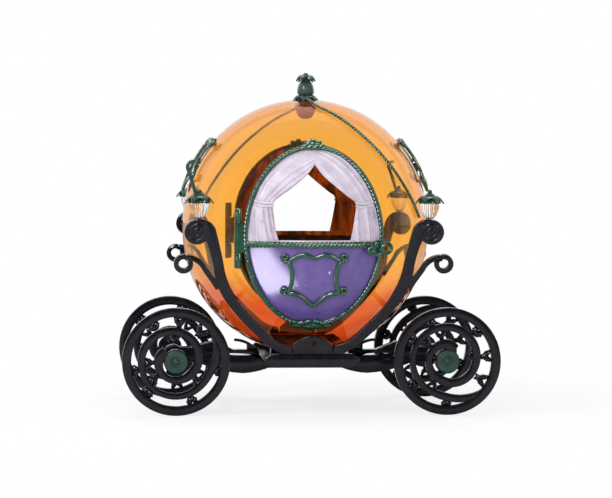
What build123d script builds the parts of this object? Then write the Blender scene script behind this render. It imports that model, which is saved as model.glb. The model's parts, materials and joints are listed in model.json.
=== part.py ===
from build123d import *
from math import asin, cos, radians, sin, sqrt
import os

# A toy pumpkin carriage. X runs along the carriage, Y across it with the near side at -Y, Z is up.
# The origin is on the floor under the middle of the body. All sizes are in millimetres.

# Pumpkin body: two hollow bowls of one radius, with a straight band of this half height between them
BODY_R = 126.5
BAND = 4.2
BODY_FOOT_Z = 55.3
BODY_HALF_H = BODY_R + BAND
BODY_Z = BODY_FOOT_Z + BODY_HALF_H
CROWN_Z = BODY_Z + BODY_HALF_H
SHELL_WALL = 2.5

# Fits between pieces
SEAT = 0.3
SKIM = 0.1
RUN = 0.05
DOOR_GAP = 0.9

# Doors
DOOR_DROP = 6.5
DOOR_Z = BODY_Z - DOOR_DROP
DOOR_HALF_W = 70.5
DOOR_HALF_H = 92.0
ROPE_W = 5.0
ROPE_LAP = 3.2
ROPE_H = 4.6
RAIL_DROP = 7.7
RAIL_Z = DOOR_Z - RAIL_DROP
RAIL_H = 7.6
RAIL_CURL_R = 4.6
# Columns: x, height over the door's top or foot, half width, half height of the +X lobes
CREST_LOBES = [(0.0, 2.5, 4.2, 4.2), (6.5, 0.0, 3.8, 3.8)]
BASE_LOBES = [(0.0, 1.0, 9.0, 5.0), (12.0, 2.4, 8.0, 3.8), (19.5, 3.4, 4.2, 4.0)]
# Columns: x, height over the rail, along the +X curtain's edge from the crossing to the rail
CURTAIN_EDGE = [
    (0.0, 79.2), (7.5, 69.4), (20.2, 58.2), (30.5, 50.0), (40.0, 42.8), (41.4, 39.7),
    (41.6, 36.2), (39.6, 20.2), (35.5, 3.2),
]
# Columns: three points x, height over the rail, along each fold of the +X curtain
CURTAIN_FOLDS = [
    [(43.5, 44.7), (28.0, 59.7), (14.0, 76.7)],
    [(47.5, 45.2), (36.0, 61.2), (25.0, 74.2)],
    [(52.0, 45.2), (46.0, 56.2), (39.5, 64.2)],
    [(44.6, 35.2), (43.2, 20.2), (39.6, 5.7)],
    [(49.6, 35.2), (50.0, 20.2), (47.0, 5.7)],
    [(55.0, 35.2), (57.5, 20.2), (55.5, 5.7)],
]
FOLD_W = 2.6
FOLD_H = 0.9
# Columns: x, height over the rail, along the +X tie band
TIE_BAND = [(41.5, 40.6), (51.0, 40.2), (59.5, 41.4)]
TIE_W = 5.6
TIE_H = 1.5

# Shield ornament of rod: on each door's lower panel and on each end face
SHIELD_W = 4.2
SHIELD_H = 3.2
SHIELD_DROP = 36.2
SHIELD_Z = RAIL_Z - SHIELD_DROP
# Columns: x, z from the shield's middle, for its +X half: top edge, flank and foot
SHIELD_TOP = [(0.0, 22.7), (5.0, 25.2), (10.5, 26.4), (17.0, 24.6), (24.5, 20.8)]
SHIELD_FLANK = [(24.5, 20.8), (22.6, 13.4), (22.0, 5.9), (22.6, -3.6), (24.5, -11.0)]
SHIELD_FOOT = [(24.5, -11.0), (18.5, -12.8), (13.0, -15.0), (5.0, -21.1), (0.0, -26.4)]
# Columns: x, z, outer radius, hole radius of the +X curls
SHIELD_CURLS = [(28.6, 24.6, 4.9, 1.7), (28.6, -10.2, 4.4, 1.4)]

# Door hinge, at the -X edge of each door
HINGE_X = -75.2
HINGE_R = 3.6
# Heights over the door's middle of the ends of the three knuckles
HINGE_RISE = (-31.7, -16.3, 12.7, 28.1)
HINGE_PIN_R = 1.2
HINGE_LEAF = 3.0
KNUCKLE_GAP = 0.3

# Latch ring at the free edge of each door
LATCH_X = 73.3
LATCH_Z = RAIL_Z - 3.8
LATCH_R = 5.2
LATCH_W = 2.6
LATCH_H = 2.8
# Columns: x, z from the ring's middle, along the S-shaped tail
LATCH_TAIL = [(-5.2, 0.5), (-7.1, -4.0), (-10.8, -6.8), (-15.3, -5.4), (-15.9, -0.6)]

# Finial on the crown
FINIAL_H = 27.6
FINIAL_LEAF_R = 17.5
FINIAL_SINK = 6.0
# Columns: radius, height over the crown, from the leaf skirt past the egg to the leaf crown
FINIAL_SIDE = [(9.0, 1.6), (6.0, 3.0), (9.4, 9.5), (4.4, 17.5), (5.2, 20.6), (8.4, 23.0)]
FINIAL_TIP_R = 2.4
FINIAL_TIP_H = 3.6
FINIAL_LEAVES = 6
# Columns: radius, lowest and highest height over the crown, half depth, half width of a leaf notch
FINIAL_NOTCHES = [(17.5, -6.0, 2.4, 6.0, 2.2), (8.8, 19.0, 23.6, 2.6, 1.5)]
FINIAL_STEM_R = 4.0
FINIAL_BOSS_R = 11.3
FINIAL_BOSS_H = 17.2

# Rope trim: it lies on the body in a tilted plane that passes under the crown
TRIM_W = 3.4
TRIM_H = 3.4
TRIM_NORMAL = (0.693, 0.456, 0.559)
TRIM_DROP = 18.9
TRIM_START_X = 1.0
TRIM_END_Z = BODY_Z + 11.0

# Shield ornament standing off each end face, on a bar and a round boss
END_FRAME_Z = BODY_Z + 63.0
END_FRAME_ROD = 3.4
END_FRAME_STAND = 2.6
END_BOSS_R = 7.5

# Cradle: two arms and a fan in one leaning plane on each side, standing on a side beam
CRADLE_FOOT_Y = 98.6
CRADLE_FOOT_Z = 50.0
CRADLE_LEAN = 9.0
CRADLE_T = 7.0
BEAM_Z = (48.0, 62.0)
FOOT_Z = BEAM_Z[1] + SEAT
SCROLL_X = 116.8
SCROLL_Z = 184.7
SCROLL_R = 12.3
CURL_X = 129.8
CURL_Z = 153.0
CURL_R = 9.6
CURL_BAND = 4.8
SCROLL_GROOVE_W = 1.5
SCROLL_GROOVE_D = 0.9
# Columns: x, z, along an arm's inner edge from the scroll's top down to the foot
ARM_INNER = [
    (116.8, 197.0), (103.6, 194.2), (97.0, 183.0), (93.2, 168.0), (90.0, 153.0),
    (86.6, 138.5), (80.3, 124.5), (72.2, 111.2), (62.5, 100.3), (51.0, 88.8),
    (40.8, 79.0), (31.0, 73.2), (22.0, 71.0),
]
# Columns: x, z, along its outer edge from the foot up to the scroll
ARM_OUTER = [
    (30.0, FOOT_Z), (40.5, 68.0), (50.7, 76.0), (61.5, 86.0), (72.0, 96.6),
    (82.1, 108.4), (90.4, 120.0), (96.8, 134.0), (100.0, 149.6), (102.9, 163.0),
    (107.6, 176.5),
]
ARM_FOOT_X = 20.0
# Columns: x, z, width, along the curl's stem from the arm
CURL_STEM = [(95.0, 128.5, 5.6), (101.5, 138.0, 5.4), (108.5, 147.6, 5.2), (116.5, 156.6, 5.0)]
FAN_R = 24.8
FAN_TOP = 80.4
FAN_GAP = 0.2
FAN_HOLE = 4.0
FAN_HOLE_X = 1.5
FAN_HOLE_Z = 73.0

# Lamps on the scrolls
LAMP_X = 114.6
BULB_R = 9.6
BULB_FOOT_R = 3.4
BULB_TOP_R = 5.6
BULB_H = 18.0
BULB_LIFT = 1.0
CAP_OVERHANG = 5.3
CAP_R = BULB_R + CAP_OVERHANG
CAP_DROP = 4.0
CAP_NECK_R = 5.6
CAP_NECK_H = 8.0
CAP_H = 11.5
CAP_BALL_R = 2.4
PETALS = 6
PETAL_L = 5.6
PETAL_W = 4.4
HOOK_CORNERS = ("near_left", "far_right")
HOOK_ROD_R = 1.8
HOOK_RISE = (-10.6, 26.0)
HOOK_BEND = (-3.6, 34.6)

# Chassis: each side beam stands under its cradle's feet
DECK_HALF_L = 48.0
DECK_Z = (50.0, 54.6)
BEAM_T = 7.0
DECK_HALF_W = CRADLE_FOOT_Y - BEAM_T / 2
BEAM_CUT = (8.0, 6.0)
SPINE_HALF_W = 9.0
SPINE_FOOT = 40.0
SPINE_TOP = 58.6
# Columns: x past the deck's end, z, along the underside and then along the middle of the slit
SPINE_DIP = [(-10.0, 40.0), (2.0, 36.4), (16.0, 34.5)]
SPINE_SLIT = [(2.0, 53.4), (22.0, 53.8), (44.0, 55.0)]
SLIT_H = 2.3
# Columns: x short of the axle, z, along the underside and then along the top
SPINE_RISE = [(50.2, 37.4), (24.2, 46.4)]
SPINE_HUMP = [(18.2, 61.5), (28.2, 64.6), (41.2, 67.0), (52.2, 63.0), (62.2, 58.6)]
SEAT_RING_R = (27.0, 36.0)
SEAT_RING_H = 10.0
LEAF_HALF_W = 5.0
LEAF_T = 2.6
# Columns: x past the deck's end, z, along the leaf and then round the web that carries it
LEAF_LINE = [(-5.0, 55.0), (1.0, 58.4), (8.0, 63.2), (15.0, 66.8), (25.0, 68.6)]
LEAF_WEB = [(12.0, 58.6), (12.0, 65.0), (6.0, 62.0)]

# Wheels and axles
WHEEL_X = 136.2
WHEEL_Y = 97.0
WHEEL_R = 54.0
WHEEL_T = 9.0
RIM_W = 9.2
HUB_R = 12.4
AXLE_R = 1.75
AXLE_TUBE_R = 5.0
BOSS_R = 10.0
HUB_CAP_R = 11.4
HUB_CAP_T = 3.2
HUB_CAP_EDGE = 1.4
HUB_NAVE_R = 2.4
HUB_NAVE_H = 0.8
HUB_DISH_R = 5.6
HUB_DISH_D = 1.5

os.makedirs("parts", exist_ok=True)
nodes = {}

# Signs of X and Y by name
SIDES = {"near": -1, "far": 1}
ENDS = {"left": -1, "right": 1}


def surface_r(z, offset=0.0):
    """Radius of the body's outer face, grown by offset, at height z."""
    rise = max(abs(z - BODY_Z) - BAND, 0)
    return sqrt((BODY_R + offset) ** 2 - rise**2)


def surface_y(x, z, offset=0.0):
    """Distance of the body's outer face from the XZ plane at (x, z)."""
    return sqrt(surface_r(z, offset) ** 2 - x**2)


def body(offset=0.0):
    """Solid bounded by the body's outer face grown by offset."""
    r = BODY_R + offset
    slant = r * sin(radians(45))
    with BuildPart() as solid:
        with BuildSketch(Plane.XZ):
            with BuildLine():
                ThreePointArc((0, BAND + r), (slant, BAND + slant), (r, BAND))
                Line((r, BAND), (r, -BAND))
                ThreePointArc((r, -BAND), (slant, -BAND - slant), (0, -BAND - r))
                Line((0, -BAND - r), (0, BAND + r))
            make_face()
        revolve(axis=Axis.Z)
    return Pos(0, 0, BODY_Z) * solid.part


def skin(inner, outer):
    """Layer between two offsets of the body's outer face."""
    return body(outer) - body(inner)


def side_prism(sketch, side):
    """Prism of an XZ sketch from the middle out past the near or far side."""
    return extrude(Plane.XZ * sketch, amount=-side * 2 * BODY_R)


def oval(half_w, half_h):
    return Pos(0, DOOR_Z) * Ellipse(half_w, half_h)


def ring(outer_w, outer_h, band):
    return oval(outer_w, outer_h) - oval(outer_w - band, outer_h - band)


def arcs(points):
    """Chain of arcs through an odd number of points, two steps to an arc."""
    return [ThreePointArc(*points[i : i + 3]) for i in range(0, len(points) - 2, 2)]


def strip(stations):
    """Band along stations (x, z, width), with arc edges; an odd number of stations."""
    left, right = [], []
    for i, (x, z, width) in enumerate(stations):
        a = stations[max(i - 1, 0)]
        b = stations[min(i + 1, len(stations) - 1)]
        dx, dz = b[0] - a[0], b[1] - a[1]
        length = sqrt(dx**2 + dz**2)
        nx, nz = -dz / length * width / 2, dx / length * width / 2
        left.append((x + nx, z + nz))
        right.append((x - nx, z - nz))
    right.reverse()
    edges = arcs(left) + [Line(left[-1], right[0])] + arcs(right) + [Line(right[-1], left[0])]
    return make_face(Wire(edges))


def spiral(cx, cz, turns):
    """Stations of a coil round (cx, cz) from rows (angle, radius, width)."""
    rows = []
    for angle, radius, width in turns:
        rows.append((cx + radius * cos(radians(angle)), cz + radius * sin(radians(angle)), width))
    return rows


def dome(radius, low, high):
    """Profile arc of a round cap from (radius, low) up to the axis at high."""
    rise = high - low
    ball = (radius**2 + rise**2) / (2 * rise)
    half = radians(45) if rise > radius else asin(radius / ball) / 2
    return ThreePointArc((radius, low), (ball * sin(half), high - ball + ball * cos(half)), (0, high))


def mirror_x(shape):
    return mirror(shape, about=Plane.YZ)


# Shell halves, each with its door opening and half of the finial's stem hole
def shell_halves():
    wall = skin(-SHELL_WALL, 0)
    opening = oval(DOOR_HALF_W - ROPE_LAP, DOOR_HALF_H - ROPE_LAP)
    wall -= side_prism(opening, -1) + side_prism(opening, 1)
    wall -= Pos(0, 0, CROWN_Z) * Cylinder(FINIAL_STEM_R + SKIM, 4 * SHELL_WALL)
    reach = 4 * BODY_R
    for name, side in SIDES.items():
        half = Pos(0, side * reach / 2, BODY_Z) * Box(reach, reach, reach)
        nodes["shell_" + name] = wall & half


def both_halves(sketch, side, height):
    """Relief of a sketch and its mirror image, rooted in the door's leaf and this high over it."""
    shape = sketch + mirror(sketch, about=Plane.YZ)
    return skin(-SHELL_WALL / 2, height) & side_prism(shape, side)


def lobes(rows, z):
    """Round lobes from rows (x, height over z, half width, half height), on both sides of X = 0."""
    shape = None
    for x, rise, half_w, half_h in rows:
        for flip in (-1, 1):
            lobe = Pos(flip * x, z + rise) * Ellipse(half_w, half_h)
            shape = lobe if shape is None else shape + lobe
    return shape


# Door leaf: purple lower panel, white curtains with their window, green rope frame and rail
def door(name, side):
    leaf_w = DOOR_HALF_W - ROPE_LAP - DOOR_GAP
    leaf_h = DOOR_HALF_H - ROPE_LAP - DOOR_GAP
    leaf = skin(-SHELL_WALL, 0) & side_prism(oval(leaf_w, leaf_h), side)
    reach = 4 * BODY_R
    below = Pos(0, side * reach / 2, RAIL_Z - reach / 2) * Box(reach, reach, reach)
    edge = [(x, RAIL_Z + z) for x, z in CURTAIN_EDGE]
    foot = (0, edge[-1][1])
    window = make_face(Wire(arcs(edge) + [Line(edge[-1], foot), Line(foot, edge[0])]))
    window += mirror(window, about=Plane.YZ)
    nodes["door_panel_" + name] = leaf & below
    relief = both_halves(strip([(x, RAIL_Z + z, TIE_W) for x, z in TIE_BAND]), side, TIE_H)
    for line in CURTAIN_FOLDS:
        relief += both_halves(strip([(x, RAIL_Z + z, FOLD_W) for x, z in line]), side, FOLD_H)
    nodes["door_curtains_" + name] = leaf - below - side_prism(window, side) + relief

    rope = ring(DOOR_HALF_W, DOOR_HALF_H, ROPE_W)
    rail = (Pos(0, RAIL_Z) * Rectangle(2 * DOOR_HALF_W, RAIL_H)) & oval(
        DOOR_HALF_W - ROPE_W / 2, DOOR_HALF_H - ROPE_W / 2
    )
    rail += Pos(DOOR_HALF_W - ROPE_W, RAIL_Z) * Circle(RAIL_CURL_R)
    crest = lobes(CREST_LOBES, DOOR_Z + DOOR_HALF_H)
    base = lobes(BASE_LOBES, DOOR_Z - DOOR_HALF_H)
    green = skin(SEAT, ROPE_H) & side_prism(rope + rail + crest + base, side)
    low, mid, high, top = [DOOR_Z + rise for rise in HINGE_RISE]
    axis_y = side * hinge_y()
    knuckle_h = high - mid - 2 * KNUCKLE_GAP
    middle = (mid + high) / 2
    knuckle = Pos(HINGE_X, axis_y, middle) * Cylinder(HINGE_R, knuckle_h)
    edge_x = -DOOR_HALF_W + ROPE_W / 2
    leaf_y = side * (hinge_y() + HINGE_R - HINGE_LEAF / 2)
    plate = Pos((HINGE_X + edge_x) / 2, leaf_y, middle) * Box(edge_x - HINGE_X, HINGE_LEAF, knuckle_h)
    bore = Pos(HINGE_X, axis_y, middle) * Cylinder(HINGE_PIN_R + RUN, knuckle_h)
    nodes["door_frame_" + name] = green + (plate - body(SEAT)) + knuckle - bore


def hinge_y():
    """Distance of the hinge axis from the XZ plane, with the knuckles clear of the body at its widest."""
    return surface_y(HINGE_X, BODY_Z, SEAT + SKIM + HINGE_R)


# Fixed half of a hinge: two knuckles, their pin and the block that seats them on the shell
def hinge(name, side):
    low, mid, high, top = [DOOR_Z + rise for rise in HINGE_RISE]
    axis_y = side * hinge_y()
    height = top - low
    middle = (low + top) / 2
    sink_y = surface_y(HINGE_X, low) - 4
    block_y = (hinge_y() + sink_y) / 2
    block_w = hinge_y() - sink_y
    block = Pos(HINGE_X - HINGE_R / 2, side * block_y, middle) * Box(HINGE_R, block_w, height)
    barrel = Pos(HINGE_X, axis_y, middle) * Cylinder(HINGE_R, height)
    room = Pos(HINGE_X, axis_y, (mid + high) / 2) * Cylinder(HINGE_R + SEAT, high - mid)
    pin = Pos(HINGE_X, axis_y, middle) * Cylinder(HINGE_PIN_R, height)
    nodes["hinge_" + name] = (block + barrel - room + pin) - body(SKIM)


# Raised ornament on the door's lower panel
def shield(z):
    """Outline of the shield ornament of rod with its middle at height z."""
    half = None
    for line in (SHIELD_TOP, SHIELD_FLANK, SHIELD_FOOT):
        rod = strip([(x, z + rise, SHIELD_W) for x, rise in line])
        half = rod if half is None else half + rod
        half += Pos(line[-1][0], z + line[-1][1]) * Circle(SHIELD_W / 2)
    for x, rise, outer, hole in SHIELD_CURLS:
        half += Pos(x, z + rise) * (Circle(outer) - Circle(hole))
    return half + mirror(half, about=Plane.YZ)


def cartouche(name, side):
    nodes["door_cartouche_" + name] = skin(SEAT, SHIELD_H) & side_prism(shield(SHIELD_Z), side)


# Latch: a ring over the free edge with an S-shaped tail on the rail
def latch(name, side):
    loop = Pos(LATCH_X, LATCH_Z) * (Circle(LATCH_R + LATCH_W / 2) - Circle(LATCH_R - LATCH_W / 2))
    tail = strip([(LATCH_X + x, LATCH_Z + z, LATCH_W) for x, z in LATCH_TAIL])
    shape = loop + tail
    lift = ROPE_H + SEAT
    nodes["latch_" + name] = skin(lift, lift + LATCH_H) & side_prism(shape, side)


# Finial: leaf skirt, egg, leaf crown and tip, on a stem held by a round boss under the shell
def finial():
    side = [(FINIAL_LEAF_R, -2.0)] + FINIAL_SIDE
    side = [(r, CROWN_Z + z) for r, z in side]
    foot_z = CROWN_Z - FINIAL_SINK
    top_z = CROWN_Z + FINIAL_H
    tip_z = top_z - FINIAL_TIP_H
    with BuildPart() as outer:
        with BuildSketch(Plane.XZ):
            with BuildLine():
                Polyline((0, foot_z), (FINIAL_LEAF_R - 1, foot_z), side[0])
                arcs(side)
                Polyline(side[-1], (FINIAL_TIP_R, tip_z))
                dome(FINIAL_TIP_R, tip_z, top_z)
                Line((0, top_z), (0, foot_z))
            make_face()
        revolve(axis=Axis.Z)
    turned = outer.part
    for radius, low, high, depth, width in FINIAL_NOTCHES:
        for i in range(FINIAL_LEAVES):
            notch = Rot(0, 0, (i + 0.5) * 360 / FINIAL_LEAVES) * (Pos(radius, 0) * Ellipse(depth, width))
            turned -= extrude(Pos(0, 0, CROWN_Z + low) * notch, amount=high - low)
    boss_z = CROWN_Z - SHELL_WALL - FINIAL_BOSS_H
    stem_h = FINIAL_SIDE[1][1] + CROWN_Z - boss_z
    stem = Pos(0, 0, boss_z + stem_h / 2) * Cylinder(FINIAL_STEM_R, stem_h)
    nodes["finial"] = (turned - body(SKIM)) + stem
    boss = Pos(0, 0, boss_z + FINIAL_BOSS_H / 2) * Cylinder(FINIAL_BOSS_R, FINIAL_BOSS_H)
    boss -= Pos(0, 0, boss_z) * Cylinder(FINIAL_STEM_R + RUN, 4 * FINIAL_BOSS_H)
    nodes["finial_boss"] = boss & body(-SHELL_WALL - SKIM)


# Twisted cord over the shell, from beside the finial down to a lamp corner
def rope_trim():
    tilt = Plane(origin=(0, 0, CROWN_Z), x_dir=(0, 0, 1), z_dir=TRIM_NORMAL)
    reach = 4 * BODY_R
    slab = tilt * Pos(0, 0, -TRIM_DROP) * Box(reach, reach, TRIM_W)
    keep = Pos(TRIM_START_X, 0, TRIM_END_Z) * Box(
        reach, reach, reach, align=(Align.MIN, Align.MAX, Align.MIN)
    )
    cord = skin(SEAT, TRIM_H) & slab & keep
    nodes["rope_trim_near"] = cord
    nodes["rope_trim_far"] = Rot(0, 0, 180) * cord


# The shield ornament standing off each end face, on a bar held by a round boss
def end_frame(name, end):
    bar_h = SHIELD_TOP[0][1] - SHIELD_FOOT[-1][1]
    bar_z = END_FRAME_Z + (SHIELD_TOP[0][1] + SHIELD_FOOT[-1][1]) / 2
    bar = Pos(0, bar_z) * Rectangle(END_FRAME_ROD, bar_h)
    frame = extrude(Plane.YZ * (shield(END_FRAME_Z) + bar), amount=2 * BODY_R)
    frame = frame & skin(END_FRAME_STAND, END_FRAME_STAND + SHIELD_H)
    boss = extrude(Plane.YZ * Pos(0, END_FRAME_Z) * Circle(END_BOSS_R), amount=2 * BODY_R)
    shape = frame + (boss & skin(SKIM, END_FRAME_STAND + 1))
    nodes["end_frame_" + name] = shape if end > 0 else mirror_x(shape)


# Cradle arm with its scroll, its open curl and a fan between the two arms
def plane_z(z):
    """Height along the leaning cradle plane for a true height z."""
    return CRADLE_FOOT_Z + (z - CRADLE_FOOT_Z) / cos(radians(CRADLE_LEAN))


def cradle_y(z):
    return CRADLE_FOOT_Y + (z - CRADLE_FOOT_Z) * sin(radians(CRADLE_LEAN)) / cos(radians(CRADLE_LEAN))


def lean_out(sketch, side, thickness=CRADLE_T):
    """Plate of an XZ sketch, leaning outwards from its foot on the given side."""
    plate = extrude(Plane.XZ * sketch, amount=thickness / 2, both=True)
    plate = Pos(0, 0, -CRADLE_FOOT_Z) * plate
    plate = Rot(-side * CRADLE_LEAN, 0, 0) * plate
    return Pos(0, side * CRADLE_FOOT_Y, CRADLE_FOOT_Z) * plate


def arm_sketch():
    inner = [(x, plane_z(z)) for x, z in ARM_INNER]
    outer = [(x, plane_z(z)) for x, z in ARM_OUTER]
    foot = (ARM_FOOT_X, outer[0][1])
    edges = arcs(inner) + [Line(inner[-1], foot), Line(foot, outer[0])] + arcs(outer)
    edges.append(Line(outer[-1], inner[0]))
    blade = make_face(Wire(edges))
    scroll = Pos(SCROLL_X, plane_z(SCROLL_Z)) * Circle(SCROLL_R)
    coil_r = CURL_R - CURL_BAND / 2
    curl_z = plane_z(CURL_Z)
    coil = spiral(CURL_X, curl_z, [(110 - 40 * i, coil_r, CURL_BAND) for i in range(9)])
    stem = [(x, plane_z(z), width) for x, z, width in CURL_STEM] + coil[:1]
    return blade + scroll + strip(coil) + strip(stem)


def scroll_groove():
    """Spiral line from near the scroll's edge in to its middle, in nearly two turns."""
    turns = 17
    outer_r = SCROLL_R - 1.5 * SCROLL_GROOVE_W
    step = (outer_r - SCROLL_GROOVE_W) / turns
    rows = [(150 - 40 * i, outer_r - step * i, SCROLL_GROOVE_W) for i in range(turns)]
    return strip(spiral(SCROLL_X, plane_z(SCROLL_Z), rows))


def cradles():
    arm = arm_sketch()
    groove = scroll_groove()
    fan_foot = plane_z(FOOT_Z)
    fan_half = ARM_FOOT_X - FAN_GAP
    fan = Pos(0, plane_z(FAN_TOP) - FAN_R) * Circle(FAN_R)
    fan = fan & (Pos(0, fan_foot + FAN_R) * Rectangle(2 * fan_half, 2 * FAN_R))
    fan -= Pos(FAN_HOLE_X, plane_z(FAN_HOLE_Z)) * Rectangle(FAN_HOLE, FAN_HOLE)
    for name, side in SIDES.items():
        core = Pos(SCROLL_X, plane_z(SCROLL_Z)) * Circle(2 * SCROLL_R)
        cut = lean_out(groove, side, 2 * CRADLE_T) - lean_out(core, side, CRADLE_T - 2 * SCROLL_GROOVE_D)
        right = lean_out(arm, side) - cut
        nodes["arm_" + name + "_right"] = right
        nodes["arm_" + name + "_left"] = mirror_x(right)
        nodes["fan_" + name] = lean_out(fan, side)


# Lamp on each scroll: a clear bulb under a petalled cap
def lamp(corner, x, y, foot_z):
    top_z = foot_z + BULB_H
    side = [
        (BULB_FOOT_R, foot_z), (0.79 * BULB_R, foot_z + 0.3 * BULB_H), (BULB_R, foot_z + 0.68 * BULB_H),
        (0.9 * BULB_R, foot_z + 0.9 * BULB_H), (BULB_TOP_R, top_z),
    ]
    with BuildPart() as bulb:
        with BuildSketch(Plane.XZ):
            with BuildLine():
                arcs(side)
                Polyline(side[-1], (0, top_z), (0, foot_z), side[0])
            make_face()
        revolve(axis=Axis.Z)
    nodes["lamp_bulb_" + corner] = Pos(x, y, 0) * bulb.part

    rim_z = top_z - CAP_DROP
    roof_z = rim_z + CAP_H
    outside = [
        (CAP_R, rim_z), (BULB_R + 0.2, rim_z + CAP_NECK_H / 2), (CAP_NECK_R, rim_z + CAP_NECK_H),
        (0.6 * CAP_NECK_R, rim_z + 0.7 * CAP_NECK_H + 0.3 * CAP_H + 1.5), (0, roof_z),
    ]
    inside = [(BULB_TOP_R + 0.6, top_z + SEAT), (BULB_R + 0.8, rim_z + 0.4 * CAP_DROP), (CAP_R, rim_z)]
    with BuildPart() as hood:
        with BuildSketch(Plane.XZ):
            with BuildLine():
                arcs(outside)
                Polyline((0, roof_z), (0, top_z + SEAT), inside[0])
                arcs(inside)
            make_face()
        revolve(axis=Axis.Z)
    petal = Pos(CAP_R - PETAL_L, 0) * Ellipse(PETAL_L, PETAL_W)
    star = Circle(BULB_R)
    for i in range(PETALS):
        star += Rot(0, 0, i * 360 / PETALS) * petal
    petals = extrude(Pos(0, 0, rim_z - CAP_DROP) * star, amount=2 * CAP_H)
    ball = Pos(0, 0, roof_z + CAP_BALL_R * 0.6) * Sphere(CAP_BALL_R)
    cap = (hood.part & petals) + ball
    if corner in HOOK_CORNERS:
        cap += hook(rim_z + CAP_H / 2)
    nodes["lamp_cap_" + corner] = Pos(x, y, 0) * cap


def hook(foot_z):
    """Tendril of round rod that leans to -X from the cap and curls back over itself."""
    rise_x, rise_z = HOOK_RISE
    bend_x, bend_z = HOOK_BEND
    with BuildPart() as tendril:
        with BuildLine(Plane.XZ) as path:
            stem = Line((-1.0, foot_z), (rise_x, foot_z + rise_z))
            TangentArc(stem @ 1, (bend_x, foot_z + bend_z), tangent=stem % 1)
        with BuildSketch(Plane(origin=path.line @ 0, z_dir=path.line % 0)):
            Circle(HOOK_ROD_R)
        sweep()
    return tendril.part


def lamps():
    foot_z = SCROLL_Z + SCROLL_R * cos(radians(CRADLE_LEAN)) + BULB_LIFT
    for side_name, side in SIDES.items():
        for end_name, end in ENDS.items():
            lamp(side_name + "_" + end_name, end * LAMP_X, side * cradle_y(foot_z), foot_z)


# Chassis spine: a deep beam with a slit, dipping beyond the deck and rising to the axle bosses
def spine():
    under = [(DECK_HALF_L + x, z) for x, z in SPINE_DIP] + [(WHEEL_X - x, z) for x, z in SPINE_RISE]
    over = [(WHEEL_X - x, z) for x, z in SPINE_HUMP]
    boss_low, boss_top = under[-1][1], over[0][1]
    low, top = (WHEEL_X, boss_low), (WHEEL_X, boss_top)
    edges = arcs(under) + [Line(under[-1], low), Line(low, top), Line(top, over[0])] + arcs(over)
    foot = [over[-1], (DECK_HALF_L, SPINE_TOP), (DECK_HALF_L, DECK_Z[0]), (0, DECK_Z[0])]
    foot += [(0, SPINE_FOOT), under[0]]
    edges += [Line(foot[i], foot[i + 1]) for i in range(len(foot) - 1)]
    half = make_face(Wire(edges))
    start, middle, stop = [(DECK_HALF_L + x, z) for x, z in SPINE_SLIT]
    roof = ThreePointArc(start, (middle[0], middle[1] + SLIT_H / 2), stop)
    floor = ThreePointArc(stop, (middle[0], middle[1] - SLIT_H / 2), start)
    half -= make_face(Wire([roof, floor]))
    half += Pos(WHEEL_X, WHEEL_R) * Circle(BOSS_R)
    both = half + mirror(half, about=Plane.YZ)
    beam = extrude(Plane.XZ * both, amount=SPINE_HALF_W, both=True)
    tube_half = WHEEL_Y - WHEEL_T / 2 - SEAT
    for end in (-1, 1):
        beam += Pos(end * WHEEL_X, 0, WHEEL_R) * Rot(90, 0, 0) * Cylinder(AXLE_TUBE_R, 2 * tube_half)
        beam -= Pos(end * WHEEL_X, 0, WHEEL_R) * Rot(90, 0, 0) * Cylinder(AXLE_R + SKIM, 4 * tube_half)
    nodes["chassis_spine"] = beam


# Free-ended leaf under each end of the shell, on a web on the spine
def leaves():
    heel_x = DECK_HALF_L + SEAT
    blade = strip([(DECK_HALF_L + x, z, LEAF_T) for x, z in LEAF_LINE])
    web = [(DECK_HALF_L + x, z) for x, z in LEAF_WEB] + [(heel_x, SPINE_TOP + SKIM)]
    web = make_face(Polyline((heel_x, SPINE_TOP), *web, (heel_x, SPINE_TOP)))
    reach = 2 * WHEEL_R
    room = Pos(heel_x + reach / 2, SPINE_TOP + reach / 2) * Rectangle(reach, reach)
    leaf = extrude(Plane.XZ * ((blade + web) & room), amount=LEAF_HALF_W, both=True)
    nodes["leaf_right"] = leaf
    nodes["leaf_left"] = mirror_x(leaf)


# Deck across the spine, with a side beam under each cradle and a ring that seats the shell
def deck():
    low, top = DECK_Z
    plate = Pos(0, 0, (low + top) / 2) * Box(2 * DECK_HALF_L, 2 * DECK_HALF_W, top - low)
    seat_in, seat_out = SEAT_RING_R
    seat = Cylinder(seat_out, SEAT_RING_H) - Cylinder(seat_in, SEAT_RING_H)
    nodes["chassis_deck"] = plate + (Pos(0, 0, top + SEAT_RING_H / 2) * seat - body(SEAT))
    beam_low, beam_top = BEAM_Z
    cut_x, cut_z = BEAM_CUT
    corner = beam_top - cut_z
    flat = DECK_HALF_L - cut_x
    profile = make_face(
        Polyline(
            (-DECK_HALF_L, corner), (-flat, beam_low), (flat, beam_low), (DECK_HALF_L, corner),
            (flat, beam_top), (-flat, beam_top), (-DECK_HALF_L, corner),
        )
    )
    for name, side in SIDES.items():
        beam = extrude(Plane.XZ * profile, amount=-side * BEAM_T)
        nodes["side_beam_" + name] = Pos(0, side * DECK_HALF_W, 0) * beam


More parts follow.
